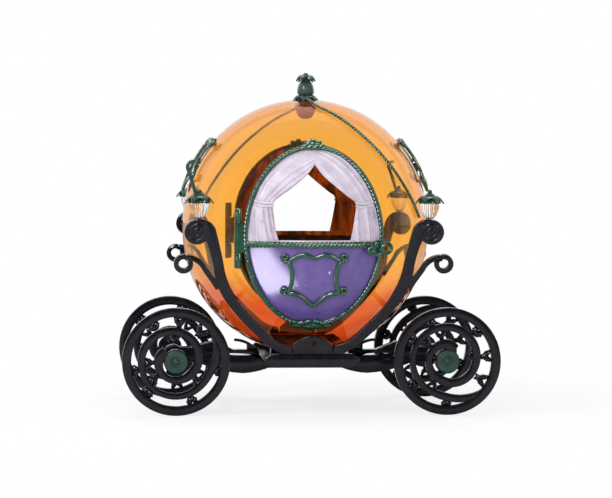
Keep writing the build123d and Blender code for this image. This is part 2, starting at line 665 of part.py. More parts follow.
# Spiral wheel: closed rim, a band that leaves it at a cusp and coils in to the hub, leaf bridges
def wheel_sketch():
    rim_r = WHEEL_R - RIM_W
    span = rim_r - HUB_R
    # Columns: degrees clockwise from the cusp, place of the band's outer edge from hub 0 to rim 1, width
    table = [
        (-14, 1.068, 2.0), (12, 0.994, 7.2), (40, 0.846, 8.2), (65, 0.79, 7.4), (95, 0.784, 6.6),
        (143, 0.79, 5.8), (188, 0.802, 7.0), (233, 0.79, 8.0), (278, 0.716, 8.0),
        (323, 0.605, 8.0), (368, 0.488, 8.6), (413, 0.377, 9.2), (458, 0.315, 7.6),
        (503, 0.296, 6.6), (548, 0.302, 8.6), (580, 0.296, 11.0), (612, 0.219, 10.5),
    ]
    outside, inside = [], []
    for angle, place, width in table:
        outer = HUB_R + place * span
        turn = radians(-angle)
        outside.append((outer * cos(turn), outer * sin(turn)))
        inside.append(((outer - width) * cos(turn), (outer - width) * sin(turn)))
    inside.reverse()
    edges = arcs(outside) + [Line(outside[-1], inside[0])] + arcs(inside)
    edges.append(Line(inside[-1], outside[0]))
    wheel = Circle(WHEEL_R) - Circle(rim_r)
    wheel += make_face(Wire(edges))
    wheel += Circle(HUB_R)
    # Columns: degrees clockwise from the cusp, place from hub 0 to rim 1, half length, half height
    bridges = [
        (38, 0.92, 5.0, 3.8), (93, 0.895, 5.4, 4.4), (158, 0.895, 6.5, 4.4), (193, 0.901, 5.5, 4.2),
        (263, 0.895, 6.0, 4.6), (300, 0.836, 5.0, 6.4), (335, 0.809, 5.0, 7.4),
        (68, 0.435, 3.6, 5.6), (168, 0.444, 4.2, 6.0), (203, 0.432, 4.0, 5.6), (293, 0.358, 4.6, 5.0),
    ]
    for angle, place, half_l, half_h in bridges:
        leaf = Pos(HUB_R + place * span, 0) * Rot(0, 0, 90) * Ellipse(half_l, half_h)
        wheel += Rot(0, 0, -angle) * leaf
    return wheel - Circle(AXLE_R + RUN)


def wheels():
    sketch = wheel_sketch()
    disc = extrude(Plane.XZ * sketch, amount=WHEEL_T / 2, both=True)
    cap_y = WHEEL_Y + WHEEL_T / 2
    with BuildPart() as cap:
        with BuildSketch(Plane.XY):
            with BuildLine():
                Polyline((0, 0), (HUB_CAP_R, 0), (HUB_CAP_R, HUB_CAP_T - HUB_CAP_EDGE))
                ThreePointArc(
                    (HUB_CAP_R, HUB_CAP_T - HUB_CAP_EDGE),
                    (HUB_CAP_R - 0.3 * HUB_CAP_EDGE, HUB_CAP_T - 0.3 * HUB_CAP_EDGE),
                    (HUB_CAP_R - HUB_CAP_EDGE, HUB_CAP_T),
                )
                Line((HUB_CAP_R - HUB_CAP_EDGE, HUB_CAP_T), (HUB_DISH_R, HUB_CAP_T))
                ThreePointArc(
                    (HUB_DISH_R, HUB_CAP_T), ((HUB_DISH_R + HUB_NAVE_R) / 2, HUB_CAP_T - HUB_DISH_D),
                    (HUB_NAVE_R, HUB_CAP_T - HUB_DISH_D / 4),
                )
                dome(HUB_NAVE_R, HUB_CAP_T - HUB_DISH_D / 4, HUB_CAP_T + HUB_NAVE_H)
                Line((0, HUB_CAP_T + HUB_NAVE_H), (0, 0))
            make_face()
        revolve(axis=Axis.Y)
    # Columns: side, end, degrees by which the wheel has rolled
    for side_name, end_name, rolled in (
        ("near", "left", -25), ("near", "right", 53), ("far", "left", 160), ("far", "right", -110),
    ):
        side, end = SIDES[side_name], ENDS[end_name]
        corner = side_name + "_" + end_name
        turn = Rot(0, 0, 0) if side < 0 else Rot(0, 0, 180)
        place = Pos(end * WHEEL_X, 0, WHEEL_R) * turn
        nodes["wheel_" + corner] = place * Pos(0, -WHEEL_Y, 0) * Rot(0, -rolled, 0) * disc
        nodes["hub_cap_" + corner] = place * Pos(0, -cap_y, 0) * Rot(0, 0, 180) * cap.part
    for end_name, end in ENDS.items():
        pin = Rot(90, 0, 0) * Cylinder(AXLE_R, 2 * cap_y - 2)
        nodes["axle_" + end_name] = Pos(end * WHEEL_X, 0, WHEEL_R) * pin


shell_halves()
for side_name, side_sign in SIDES.items():
    door(side_name, side_sign)
    hinge(side_name, side_sign)
    cartouche(side_name, side_sign)
    latch(side_name, side_sign)
finial()
rope_trim()
for end_name, end_sign in ENDS.items():
    end_frame(end_name, end_sign)
cradles()
lamps()
spine()
leaves()
deck()
wheels()

for node, shape in nodes.items():
    export_step(Part() + shape, "parts/" + node + ".step")
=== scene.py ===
import json
import math

import bmesh
import bpy
import numpy as np
from mathutils import Matrix, Vector


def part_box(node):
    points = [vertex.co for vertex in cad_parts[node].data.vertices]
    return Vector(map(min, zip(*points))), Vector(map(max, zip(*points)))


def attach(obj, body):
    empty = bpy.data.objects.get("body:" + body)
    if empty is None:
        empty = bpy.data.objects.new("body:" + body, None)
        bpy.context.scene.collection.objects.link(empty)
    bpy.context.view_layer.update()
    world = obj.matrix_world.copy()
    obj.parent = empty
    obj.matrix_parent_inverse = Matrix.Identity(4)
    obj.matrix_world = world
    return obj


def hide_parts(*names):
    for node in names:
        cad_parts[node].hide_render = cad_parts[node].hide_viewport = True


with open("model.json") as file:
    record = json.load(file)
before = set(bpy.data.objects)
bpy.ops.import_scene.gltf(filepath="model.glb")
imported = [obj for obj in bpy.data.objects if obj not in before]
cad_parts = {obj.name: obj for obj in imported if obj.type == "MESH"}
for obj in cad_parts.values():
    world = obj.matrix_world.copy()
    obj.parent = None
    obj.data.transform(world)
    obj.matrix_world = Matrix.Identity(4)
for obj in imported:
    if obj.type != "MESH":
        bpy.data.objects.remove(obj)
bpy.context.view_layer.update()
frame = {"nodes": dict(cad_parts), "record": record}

# A toy pumpkin carriage of glossy plastic. X runs along it, the near side is at -Y, Z is up.
# Shapes are worked out in millimetres and written in metres.
MM = 0.001

SIDES = {"near": -1, "far": 1}
ENDS = {"left": -1, "right": 1}
CORNERS = [side + "_" + end for side in SIDES for end in ENDS]
ALONG = np.array((1.0, 0, 0))
ACROSS = np.array((0, 1.0, 0))
UP = np.array((0, 0, 1.0))


def mm_box(node):
    """Lowest and highest corner of a CAD node, in millimetres."""
    lo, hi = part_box(node)
    return lo / MM, hi / MM


# Places and sizes read from the frame
shell_lo, shell_hi = mm_box("shell_near")
BODY_R = shell_hi.x
BODY_HALF_H = (shell_hi.z - shell_lo.z) / 2
BODY_Z = (shell_hi.z + shell_lo.z) / 2
BAND = BODY_HALF_H - BODY_R
SHELL_WALL = 2.5

leaf_hi = mm_box("door_curtains_near")[1]
panel_lo, panel_hi = mm_box("door_panel_near")
LEAF_HALF_W = leaf_hi.x
LEAF_HALF_H = (leaf_hi.z - panel_lo.z) / 2
DOOR_Z = (leaf_hi.z + panel_lo.z) / 2
RAIL_Z = panel_hi.z


# Materials

def new_material(name):
    """Material with its own node tree, its Principled shader and that tree."""
    material = bpy.data.materials.new(name)
    material.use_nodes = True
    return material, material.node_tree.nodes["Principled BSDF"], material.node_tree


def put(tree, socket, value):
    """Links a socket to another one, or sets it to a plain value."""
    if isinstance(value, bpy.types.NodeSocket):
        tree.links.new(value, socket)
    else:
        socket.default_value = value


def feed(tree, node, *values, **named):
    """Feeds a node's first inputs in their order, and others by their names, with _ for a space."""
    for socket, value in zip(node.inputs, values):
        put(tree, socket, value)
    for key, value in named.items():
        put(tree, node.inputs[key.replace("_", " ")], value)


def add(tree, kind, *values, **named):
    """New node of that kind, fed."""
    node = tree.nodes.new(kind)
    feed(tree, node, *values, **named)
    return node


def coords(tree, kind="Object"):
    """Coordinates in the piece's own space, or another output of their node."""
    return add(tree, "ShaderNodeTexCoord").outputs[kind]


def noise(tree, scale, detail=3.0, stretch=(1, 1, 1)):
    """Noise in the piece's own space, at a scale in cells per metre."""
    mapping = add(tree, "ShaderNodeMapping", coords(tree), Scale=stretch)
    field = add(tree, "ShaderNodeTexNoise", mapping.outputs["Vector"], Scale=scale, Detail=detail)
    return field.outputs["Fac"]


def ramp(tree, value, low, high, colors):
    """Colours spread over the part of a value between low and high."""
    node = add(tree, "ShaderNodeValToRGB", value)
    stops = node.color_ramp.elements
    while len(stops) < len(colors):
        stops.new(0.5)
    for i, color in enumerate(colors):
        stops[i].position = low + (high - low) * i / (len(colors) - 1)
        stops[i].color = (*color, 1)
    return node.outputs["Color"]


VECTOR_MATH = "ShaderNodeVectorMath"


def math_node(tree, operation, *values, kind="ShaderNodeMath", output="Value"):
    """Result of a math node, or of one for vectors."""
    node = add(tree, kind, *values)
    node.operation = operation
    return node.outputs[output]


def remap(tree, value, low, high, start=0.0, stop=1.0, kind="LINEAR"):
    """A value between start and stop mapped to between low and high."""
    node = add(tree, "ShaderNodeMapRange", value, From_Min=start, From_Max=stop, To_Min=low, To_Max=high)
    node.interpolation_type = kind
    return node.outputs["Result"]


# Sockets of the Mix node, which shares its names among its kinds
COLOR_SOCKETS = (6, 7, 2)
FLOAT_SOCKETS = (2, 3, 0)


def blend(tree, factor, first, second, kind="RGBA"):
    """Mix of two colours or, as FLOAT, of two values."""
    node = add(tree, "ShaderNodeMix", factor)
    node.data_type = kind
    first_at, second_at, mixed_at = COLOR_SOCKETS if kind == "RGBA" else FLOAT_SOCKETS
    put(tree, node.inputs[first_at], first)
    put(tree, node.inputs[second_at], second)
    return node.outputs[mixed_at]


def bump(tree, height, distance, strength=1.0):
    """Normals of a surface with a field pressed into it, to a depth in metres."""
    return add(tree, "ShaderNodeBump", Height=height, Strength=strength, Distance=distance).outputs["Normal"]


def srgb(r, g, b):
    """Linear colour of an 8-bit display colour."""
    return tuple(((c / 255 + 0.055) / 1.055) ** 2.4 if c > 10 else c / 255 / 12.92 for c in (r, g, b))


# Scales in cells per metre and reliefs in metres
FLOW_CELLS = 90
GRAIN_CELLS = 900
GRAIN_RELIEF = 0.00004
COAT_ROUGH = 0.05
PLASTIC_IOR = 1.5


def moulded(name, dark, light, rough, coat=0.0, specular=0.5):
    """Opaque plastic between two display colours, with soft flow marks and fine mould grain."""
    material, shader, tree = new_material(name)
    flow = noise(tree, FLOW_CELLS)
    feed(
        tree, shader,
        Base_Color=ramp(tree, flow, 0.35, 0.7, [srgb(*dark), srgb(*light)]),
        Roughness=remap(tree, flow, *rough),
        Normal=bump(tree, noise(tree, GRAIN_CELLS, 2.0), GRAIN_RELIEF),
        Coat_Weight=coat,
        Coat_Roughness=COAT_ROUGH,
        Specular_IOR_Level=specular,
        IOR=PLASTIC_IOR,
    )
    return material


TINT_CELLS = 60
WAVE_CELLS = 45
WAVE_RELIEF = 0.00015
CLEAR_IOR = 1.46


def see_through(name, tint, rough=0.02, density=0.0, absorb=(1, 1, 1)):
    """Clear plastic with slight waves in its surface, tinted through its thickness."""
    material, shader, tree = new_material(name)
    flow = noise(tree, TINT_CELLS)
    pale = tuple(min(c * 1.02, 1) for c in tint)
    feed(
        tree, shader,
        Base_Color=ramp(tree, flow, 0.3, 0.7, [tint, pale]),
        Roughness=remap(tree, flow, rough * 0.6, rough * 1.4),
        Normal=bump(tree, noise(tree, WAVE_CELLS, 1.0), WAVE_RELIEF, 0.5),
        Transmission_Weight=1.0,
        IOR=CLEAR_IOR,
    )
    if density:
        volume = add(tree, "ShaderNodeVolumeAbsorption", Color=(*absorb, 1), Density=density)
        feed(tree, tree.nodes["Material Output"], Volume=volume.outputs["Volume"])
    return material


# Heights in metres between which the shell's tint deepens, and how far that edge wavers
DEEP_LOW = 0.095
DEEP_HIGH = 0.15
DEEP_WAVER = 0.06
DEEP_CELLS = 16


def deepen(material, tint):
    """Deeper tint towards the foot of a clear piece, with a wavering edge."""
    tree = material.node_tree
    shader = tree.nodes["Principled BSDF"]
    axes = add(tree, "ShaderNodeSeparateXYZ", coords(tree))
    wave = math_node(tree, "MULTIPLY", noise(tree, DEEP_CELLS, 2.0, (1, 1, 2.5)), DEEP_WAVER)
    height = math_node(tree, "ADD", axes.outputs["Z"], wave)
    middle = DEEP_WAVER / 2
    depth = remap(tree, height, 1.0, 0.0, DEEP_LOW + middle, DEEP_HIGH + middle, "SMOOTHSTEP")
    paint = shader.inputs["Base Color"].links[0].from_socket
    feed(tree, shader, Base_Color=blend(tree, depth, paint, (*tint, 1)))


orange = see_through("orange_shell", (1.0, 0.93, 0.82), density=520, absorb=(1.0, 0.765, 0.05))
deepen(orange, (0.88, 0.44, 0.46))
clear = see_through("clear_bulb", (0.98, 0.98, 0.98), rough=0.015)
black = moulded("black_plastic", (13, 12, 20), (24, 23, 32), rough=(0.09, 0.17), specular=0.28)
green = moulded("green_plastic", (4, 62, 42), (12, 88, 60), rough=(0.07, 0.15), coat=0.5)
dark_green = moulded("dark_green_plastic", (24, 54, 42), (44, 78, 62), rough=(0.14, 0.26))
finial_green = moulded("finial_green_plastic", (48, 70, 66), (72, 92, 90), rough=(0.14, 0.26))
hub_green = moulded("hub_green_plastic", (22, 52, 43), (36, 68, 57), rough=(0.34, 0.46))
purple = moulded("purple_plastic", (98, 78, 150), (110, 90, 160), rough=(0.15, 0.22))
boss_orange = moulded("boss_orange", (214, 96, 66), (236, 122, 84), rough=(0.3, 0.45))
white = moulded("white_plastic", (204, 192, 210), (224, 214, 228), rough=(0.22, 0.34))
steel = moulded("axle_steel", (150, 150, 154), (190, 190, 194), rough=(0.2, 0.35))
steel.node_tree.nodes["Principled BSDF"].inputs["Metallic"].default_value = 1.0

INNER_ROUGH = 0.5
# Scale of the streaks of painted light and shade on the inner faces, in cells per metre
PAINTED_LIGHT_CELLS = 130
# A face counts as outer down to this value of the test, so that the sides of folds do
FOLD_SIDES = -0.03


def two_faced(outside, name, dark, light, stretch, low, high):
    """Copy of a material with streaks of two display colours on the faces towards the body's inside: painted
    light and shade, bright where light comes through the paint and dark where the body's inside and the
    folds lie in shade.
    """
    material = outside.copy()
    material.name = name
    tree = material.node_tree
    shader = tree.nodes["Principled BSDF"]
    middle = (0, 0, DOOR_Z * MM)
    outwards = math_node(tree, "SUBTRACT", coords(tree), middle, kind=VECTOR_MATH, output="Vector")
    facing = math_node(tree, "DOT_PRODUCT", outwards, coords(tree, "Normal"), kind=VECTOR_MATH)
    outer = math_node(tree, "GREATER_THAN", facing, FOLD_SIDES)
    paint = shader.inputs["Base Color"].links[0].from_socket
    gloss = shader.inputs["Roughness"].links[0].from_socket
    # Painted light and shade: brighter streaks where light comes through the paint, darker where the inside
    # and the folds lie in shade
    painted_light_streak = ramp(tree, noise(tree, PAINTED_LIGHT_CELLS, 2.0, stretch), low, high, [srgb(*dark), srgb(*light)])
    rough = blend(tree, outer, INNER_ROUGH, gloss, "FLOAT")
    feed(tree, shader, Base_Color=blend(tree, outer, painted_light_streak, paint), Roughness=rough)
    return material


# The inner faces' colours are partly the dark back of the paint and partly painted light and shade
panel_faces = two_faced(purple, "panel_faces", (12, 7, 8), (110, 32, 16), (1, 1, 0.3), low=0.52, high=0.7)
curtain_faces = two_faced(
    white, "curtain_faces", (104, 40, 10), (240, 128, 38), (1, 1, 0.12), low=0.4, high=0.64
)

SLOT_MATERIALS = {
    "orange_clear": orange, "purple": panel_faces, "curtain_white": curtain_faces, "green": green,
    "dark_green": dark_green, "hub_green": hub_green, "black": black, "clear": clear, "steel": steel,
}

for row in frame["record"]["subparts"]:
    node = frame["nodes"][row["node"]]
    node.data.materials.clear()
    node.data.materials.append(SLOT_MATERIALS[row["material_slot"]])


# Meshes

class Form:
    """Points and faces of one mesh, in millimetres."""

    def __init__(self):
        self.points = []
        self.faces = []

    def put(self, points, faces):
        """Adds points, and faces that count from the first of these points."""
        start = len(self.points)
        self.points.extend(tuple(map(float, point)) for point in points)
        self.faces.extend(tuple(start + i for i in face) for face in faces)

    def skin(self, grid, loop=False):
        """Faces over rows of points, each row a closed section; flat ends unless the rows loop."""
        rows, columns = grid.shape[:2]
        faces = []
        for i in range(rows if loop else rows - 1):
            below, above = i * columns, (i + 1) % rows * columns
            for j in range(columns):
                k = (j + 1) % columns
                faces.append((below + j, below + k, above + k, above + j))
        if not loop:
            last = (rows - 1) * columns
            faces.append(tuple(range(columns))[::-1])
            faces.append(tuple(range(last, last + columns)))
        self.put(grid.reshape(-1, 3), faces)


def piece(name, form, material, body, replaces=(), sharp=38):
    """Object from a form, smooth but for its sharp edges, riding on a body."""
    mesh = bpy.data.meshes.new(name)
    mesh.from_pydata([tuple(c * MM for c in point) for point in form.points], [], form.faces)
    work = bmesh.new()
    work.from_mesh(mesh)
    bmesh.ops.recalc_face_normals(work, faces=work.faces)
    work.to_mesh(mesh)
    work.free()
    return dress(bpy.data.objects.new(name, mesh), material, body, replaces, sharp)


def dress(thing, material, body, replaces, sharp):
    """Shading, material, body and replaced nodes of a new object."""
    thing.data.shade_smooth()
    thing.data.set_sharp_from_angle(angle=math.radians(sharp))
    thing.data.materials.append(material)
    bpy.context.scene.collection.objects.link(thing)
    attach(thing, body)
    if replaces:
        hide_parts(*replaces)
    return thing


# For the rounding of CAD meshes: distance in millimetres, angles in degrees
MERGED_WITHIN = 0.002
FLAT_BELOW = 0.4
SHARP_FROM = 34
BEVEL_STEPS = 2


def softened(node, material, width=0.5):
    """Copy of a CAD node of the root with its sharp edges rounded."""
    mesh = bpy.data.meshes.new(node + "_moulded")
    work = bmesh.new()
    work.from_mesh(frame["nodes"][node].data)
    bmesh.ops.remove_doubles(work, verts=work.verts, dist=MERGED_WITHIN * MM)
    bmesh.ops.dissolve_limit(work, angle_limit=math.radians(FLAT_BELOW), verts=work.verts, edges=work.edges)
    sharp = [
        edge for edge in work.edges
        if len(edge.link_faces) == 2 and edge.calc_face_angle() > math.radians(SHARP_FROM)
    ]
    bmesh.ops.bevel(
        work, geom=sharp, offset=width * MM, segments=BEVEL_STEPS, profile=0.5, affect="EDGES",
        clamp_overlap=False,
    )
    work.to_mesh(mesh)
    work.free()
    thing = bpy.data.objects.new(node + "_moulded", mesh)
    return dress(thing, material, "root", [node], SHARP_FROM)


def unit(rows):
    """Rows scaled to a length of 1."""
    return rows / np.linalg.norm(rows, axis=-1, keepdims=True)


def towards(degrees, first, second):
    """Direction at an angle from the first axis to the second."""
    turn = math.radians(degrees)
    return math.cos(turn) * first + math.sin(turn) * second


def lengths(path):
    """Distance along a path at each of its points."""
    steps = np.linalg.norm(np.diff(path, axis=0), axis=1)
    return np.concatenate([[0.0], np.cumsum(steps)])


def smooth_line(rows, parts=8):
    """Smooth line through rows, with that many parts between two of them."""
    rows = np.array(rows, float)
    ends = np.vstack([2 * rows[0] - rows[1], rows, 2 * rows[-1] - rows[-2]])
    t = np.arange(parts)[:, None] / parts
    spans = []
    for a, b, c, d in zip(ends, ends[1:], ends[2:], ends[3:]):
        spans.append(b + t / 2 * (c - a + t * (2 * a - 5 * b + 4 * c - d + t * (3 * (b - c) + d - a))))
    return np.vstack(spans + [rows[-1:]])


def even(path, step, loop=False):
    """Points of a path spaced evenly, about a step apart."""
    path = np.array(path, float)
    if loop:
        path = np.vstack([path, path[:1]])
    along = lengths(path)
    at = np.linspace(0, along[-1], max(round(along[-1] / step), 3) + 1)
    out = np.column_stack([np.interp(at, along, column) for column in path.T])
    return out[:-1] if loop else out


def coil(centre, radii, angles, parts=40):
    """Flat spiral round a centre, from the first radius and angle to the second ones."""
    t = np.linspace(0, 1, parts)
    radius = radii[0] + (radii[1] - radii[0]) * t
    turn = np.radians(angles[0] + (angles[1] - angles[0]) * t)
    return np.column_stack([centre[0] + radius * np.cos(turn), centre[1] + radius * np.sin(turn)])


def lay(line, lift, sign, face="side"):
    """Points over a flat line (across, z) on the body's side or end face, and the normals there."""
    points = []
    for across, z in line:
        rise = max(abs(z - BODY_Z) - BAND, 0.0)
        out = sign * math.sqrt((BODY_R + lift) ** 2 - rise**2 - across**2)
        points.append((across, out, z) if face == "side" else (out, across, z))
    points = np.array(points)
    normals = points - (0, 0, BODY_Z)
    normals[:, 2] -= np.clip(normals[:, 2], -BAND, BAND)
    return points, unit(normals)


def sweep(form, path, ups, sections, loop=False):
    """Skin through a section at each path point: rows (across, up), up along the given normals."""
    ahead = np.roll(path, -1, 0) - np.roll(path, 1, 0) if loop else np.gradient(path, axis=0)
    ahead = unit(ahead)
    ups = unit(ups - (ups * ahead).sum(1, keepdims=True) * ahead)
    across = np.cross(ahead, ups)
    grid = path[:, None] + sections[..., :1] * across[:, None] + sections[..., 1:] * ups[:, None]
    form.skin(grid, loop)


def rod(form, path, ups, width, height, sides=12, loop=False):
    """Round rod, as wide across and as high along the normals as told, with rounded ends."""
    size = np.ones(len(path))
    if not loop:
        along = lengths(path)
        near = np.minimum(along, along[-1] - along) / (np.max(width) / 2)
        size = np.sqrt(1 - (1 - np.clip(near, 0.03, 1)) ** 2)
    angle = np.linspace(0, 2 * math.pi, sides, endpoint=False)
    across = np.outer(size * width / 2, np.cos(angle))
    up = np.outer(size * height / 2, np.sin(angle))
    sweep(form, path, ups, np.stack([across, up], -1), loop)


def laid_rod(form, line, lift, sign, width, height, face="side", **kind):
    """Round rod over a flat line on the body's side or end face."""
    path, ups = lay(line, lift, sign, face)
    rod(form, path, ups, width, height, **kind)


ROPE_STRANDS = 3
ROPE_SIDES = 24


def rope(form, path, ups, width, height, ridge, loop=False):
    """Twisted cord: lobed sections that turn along the path by one strand for each ridge."""
    along = lengths(path)
    total = along[-1] + (np.linalg.norm(path[0] - path[-1]) if loop else 0)
    turns = round(total / ridge) / ROPE_STRANDS
    phase = 2 * math.pi * turns * along / total
    angle = np.linspace(0, 2 * math.pi, ROPE_SIDES, endpoint=False)
    strand = 2 * math.pi / ROPE_STRANDS
    size = np.cos((angle[None] - phase[:, None]) % strand - strand / 2)
    sections = np.stack([size * width / 2 * np.cos(angle), size * height / 2 * np.sin(angle)], -1)
    sweep(form, path, ups, sections, loop)


LENS_RINGS = 6
LENS_SIDES = 14


def lens(form, centre, ahead, up, length, width, height, point=1.0):
    """Smooth pillow of an oval outline; a point over 1 draws its ends out into tips."""
    across = np.cross(ahead, up)
    t = np.linspace(-1, 1, 2 * LENS_RINGS + 1) * 0.999
    size = np.sqrt(1 - t**2) ** point
    path = centre + np.outer(t * length / 2, ahead)
    angle = np.linspace(0, 2 * math.pi, LENS_SIDES, endpoint=False)
    grid = (
        path[:, None]
        + np.outer(size * width / 2, np.cos(angle))[..., None] * across
        + np.outer(size * height / 2, np.sin(angle))[..., None] * up
    )
    form.skin(grid)


def ball(form, centre, radius):
    """Round bead."""
    lens(form, np.array(centre, float), UP, ACROSS, 2 * radius, 2 * radius, 2 * radius)


def lathe(form, centre, axis, side, rows, steps=48, flutes=0, depth=0.0):
    """Rows (radius, height along the axis) turned round it; flutes press grooves into the side.

    A form starts and ends at a small radius, where a flat face closes it.
    """
    other = np.cross(axis, side)
    angle = np.linspace(0, 2 * math.pi, steps, endpoint=False)
    press = 1 - depth * np.abs(np.sin(flutes * angle / 2)) ** 0.7 if flutes else np.ones(steps)
    grid = []
    for radius, height in rows:
        ring = radius * press
        grid.append(
            np.array(centre) + height * axis + np.outer(ring * np.cos(angle), side)
            + np.outer(ring * np.sin(angle), other)
        )
    form.skin(np.array(grid))


PETAL_ROWS = 10
# Section of a petal: share of its half width, share of its thickness
PETAL_SECTION = np.array([
    (-1, 0), (-0.5, 0.75), (0, 0.15), (0.5, 0.75), (1, 0), (0.5, -0.5), (0, -0.9), (-0.5, -0.5),
])


def petal(form, root, ahead, up, length, width, bend, thick=1.0, tip=0.35):
    """Pointed leaf from its root along ahead, arched by its bend, with a crease down the middle."""
    t = np.linspace(0, 1, PETAL_ROWS)
    path = root + np.outer(t * length, ahead) + np.outer(bend[0] * np.sin(math.pi * t) + bend[1] * t**2, up)
    # Half wide at the root, widest near the middle, drawn in to its tip
    size = (0.45 + 0.55 * np.sin(math.pi * np.clip(t / 0.9, 0, 1) ** 0.8)) * (1 - t**4 * (1 - tip))
    size[-1] = 0.06
    across = np.outer(size * width / 2, PETAL_SECTION[:, 0])
    high = np.outer(0.4 + 0.6 * size, PETAL_SECTION[:, 1]) * thick
    sweep(form, path, np.tile(up, (PETAL_ROWS, 1)), np.stack([across, high], -1))


# Doors: the origin of each is at rest in its opening, and every piece rides on its door

def oval(half_w, half_h, low=0.0, high=360.0, parts=240):
    """Line of the door's oval between two angles, in degrees from +X."""
    turn = np.radians(np.linspace(low, high, parts))
    return np.column_stack([half_w * np.cos(turn), DOOR_Z + half_h * np.sin(turn)])


# How far the cord runs outside the leaf's oval, and its lips beside it
ROPE_CLEAR = 1.6
LIP_REACH = 1.9
ROPE_W = 4.6
ROPE_LIFT = 2.45
ROPE_RIDGE = 4.3
ROPE_STEP = 0.45
RAIL_ROPE_H = 6.6
LIP_W = 1.3
LIP_H = 1.4


def door_rope(form, sign):
    """Twisted frame of the door with a thin lip round its foot."""
    half_w, half_h = LEAF_HALF_W + ROPE_CLEAR, LEAF_HALF_H + ROPE_CLEAR
    path, ups = lay(even(oval(half_w, half_h)[:-1], ROPE_STEP, loop=True), ROPE_LIFT, sign)
    rope(form, path, ups, ROPE_W, ROPE_W * 0.9, ROPE_RIDGE, loop=True)
    for grow in (-LIP_REACH, LIP_REACH):
        edge = even(oval(half_w + grow, half_h + grow)[:-1], 2.5, loop=True)
        laid_rod(form, edge, 1.0, sign, LIP_W, LIP_H, sides=8, loop=True)


def door_rail(form, sign):
    """Twisted rail across the door, ending in a round curl at the free edge."""
    reach = LEAF_HALF_W * math.sqrt(1 - ((RAIL_Z - DOOR_Z) / LEAF_HALF_H) ** 2)
    line = even([(-reach, RAIL_Z), (reach - 3, RAIL_Z)], ROPE_STEP)
    path, ups = lay(line, ROPE_LIFT - 0.1, sign)
    rope(form, path, ups, RAIL_ROPE_H, ROPE_W * 0.86, ROPE_RIDGE)
    line = coil((reach - 0.6, RAIL_Z), (4.2, 0.8), (180, 180 - 560))
    laid_rod(form, line, ROPE_LIFT + 0.3, sign, 2.4, 3.4)


# Columns: x, height over the frame's line, length, width, degrees of tilt, for the +X half
CREST = [
    (0.0, 4.6, 9.0, 6.8, 90), (5.2, 3.4, 8.6, 5.4, 48), (8.4, 0.4, 7.6, 4.8, 5), (3.4, -0.6, 9.0, 5.0, 0),
]
BASE = [
    (0.0, -2.8, 7.4, 6.4, 90), (5.6, -1.8, 10.4, 5.6, 26), (10.6, 2.0, 9.8, 5.4, -14),
    (15.4, -0.8, 9.6, 5.0, 30), (4.8, 3.8, 8.0, 4.2, -30),
]
LOBE_LIFT = ROPE_LIFT + 0.6
LOBE_H = 4.4


def ornament(form, rows, z, sign):
    """Leafy lobes at the top or the foot of the frame, lying on the body's side."""
    for x, rise, length, width, tilt in rows:
        for flip in (-1, 1) if x else (1,):
            point, up = lay([(x * flip, z + rise)], LOBE_LIFT, sign)
            ahead = towards(tilt * flip, ALONG, UP)
            ahead = unit(ahead - ahead @ up[0] * up[0])
            lens(form, point[0], ahead, up[0], length, width, LOBE_H)


def curls(form, rows, z, sign, face="side", lift=ROPE_LIFT, high=3.4):
    """Rod curls, each from rows (x, rise, radius, start angle, degrees of turn, width), on both halves."""
    for x, rise, radius, start, turn, width in rows:
        for flip in (-1, 1):
            line = coil((x, z + rise), (radius, radius * 0.16), (start, start + turn))
            line[:, 0] *= flip
            laid_rod(form, even(line, 0.5), lift, sign, width, high, face)


# The hinge's line and radius, and the door's knuckle between the fixed ones
HINGE_X = -75.2
HINGE_R = 3.6
KNUCKLE_Z = (DOOR_Z - 16.3 + 0.3, DOOR_Z + 12.7 - 0.3)
KNUCKLE_BEVEL = 0.5
HINGE_LEAF_HALF = 1.2


def hinge_knuckle(form, sign):
    """The door's own knuckle between the two fixed ones, with its leaf to the frame."""
    lo, hi = mm_box("hinge_far" if sign > 0 else "hinge_near")
    y = hi.y - HINGE_R if sign > 0 else lo.y + HINGE_R
    low, high = KNUCKLE_Z
    rim = HINGE_R - KNUCKLE_BEVEL
    rows = [
        (0.2, low), (rim, low), (HINGE_R, low + KNUCKLE_BEVEL), (HINGE_R, high - KNUCKLE_BEVEL),
        (rim, high), (0.2, high),
    ]
    lathe(form, (HINGE_X, y, 0), UP, ALONG, rows, 32)
    edge = -LEAF_HALF_W - ROPE_CLEAR
    foot, top = low + 0.2, high - 0.4
    grid = []
    for x, lift in ((HINGE_X, 2.2), (edge, 2.0)):
        inner = y + sign * (lift - HINGE_LEAF_HALF)
        outer = y + sign * (lift + HINGE_LEAF_HALF)
        grid.append([(x, inner, foot), (x, outer, foot), (x, outer, top), (x, inner, top)])
    form.skin(np.array(grid))


# Columns: x, rise, radius, start angle, degrees of turn, width
BASE_CURLS = [(18.6, 1.4, 3.4, 200, -470, 2.2)]


def on_doors(stem, node, build, material, sharp=38):
    """A piece on each door, filled by a function, for one of the door's nodes or for none."""
    for name, sign in SIDES.items():
        form = Form()
        build(form, sign)
        piece(stem + name, form, material, "door_" + name, [node + name] if node else (), sharp)


def door_frame(form, sign):
    """Rope frame, rail, leaf ornaments and hinge knuckle as one form."""
    door_rope(form, sign)
    door_rail(form, sign)
    top, foot = DOOR_Z + LEAF_HALF_H + ROPE_CLEAR, DOOR_Z - LEAF_HALF_H - ROPE_CLEAR
    ornament(form, CREST, top, sign)
    ornament(form, BASE, foot, sign)
    curls(form, BASE_CURLS, foot, sign)
    hinge_knuckle(form, sign)


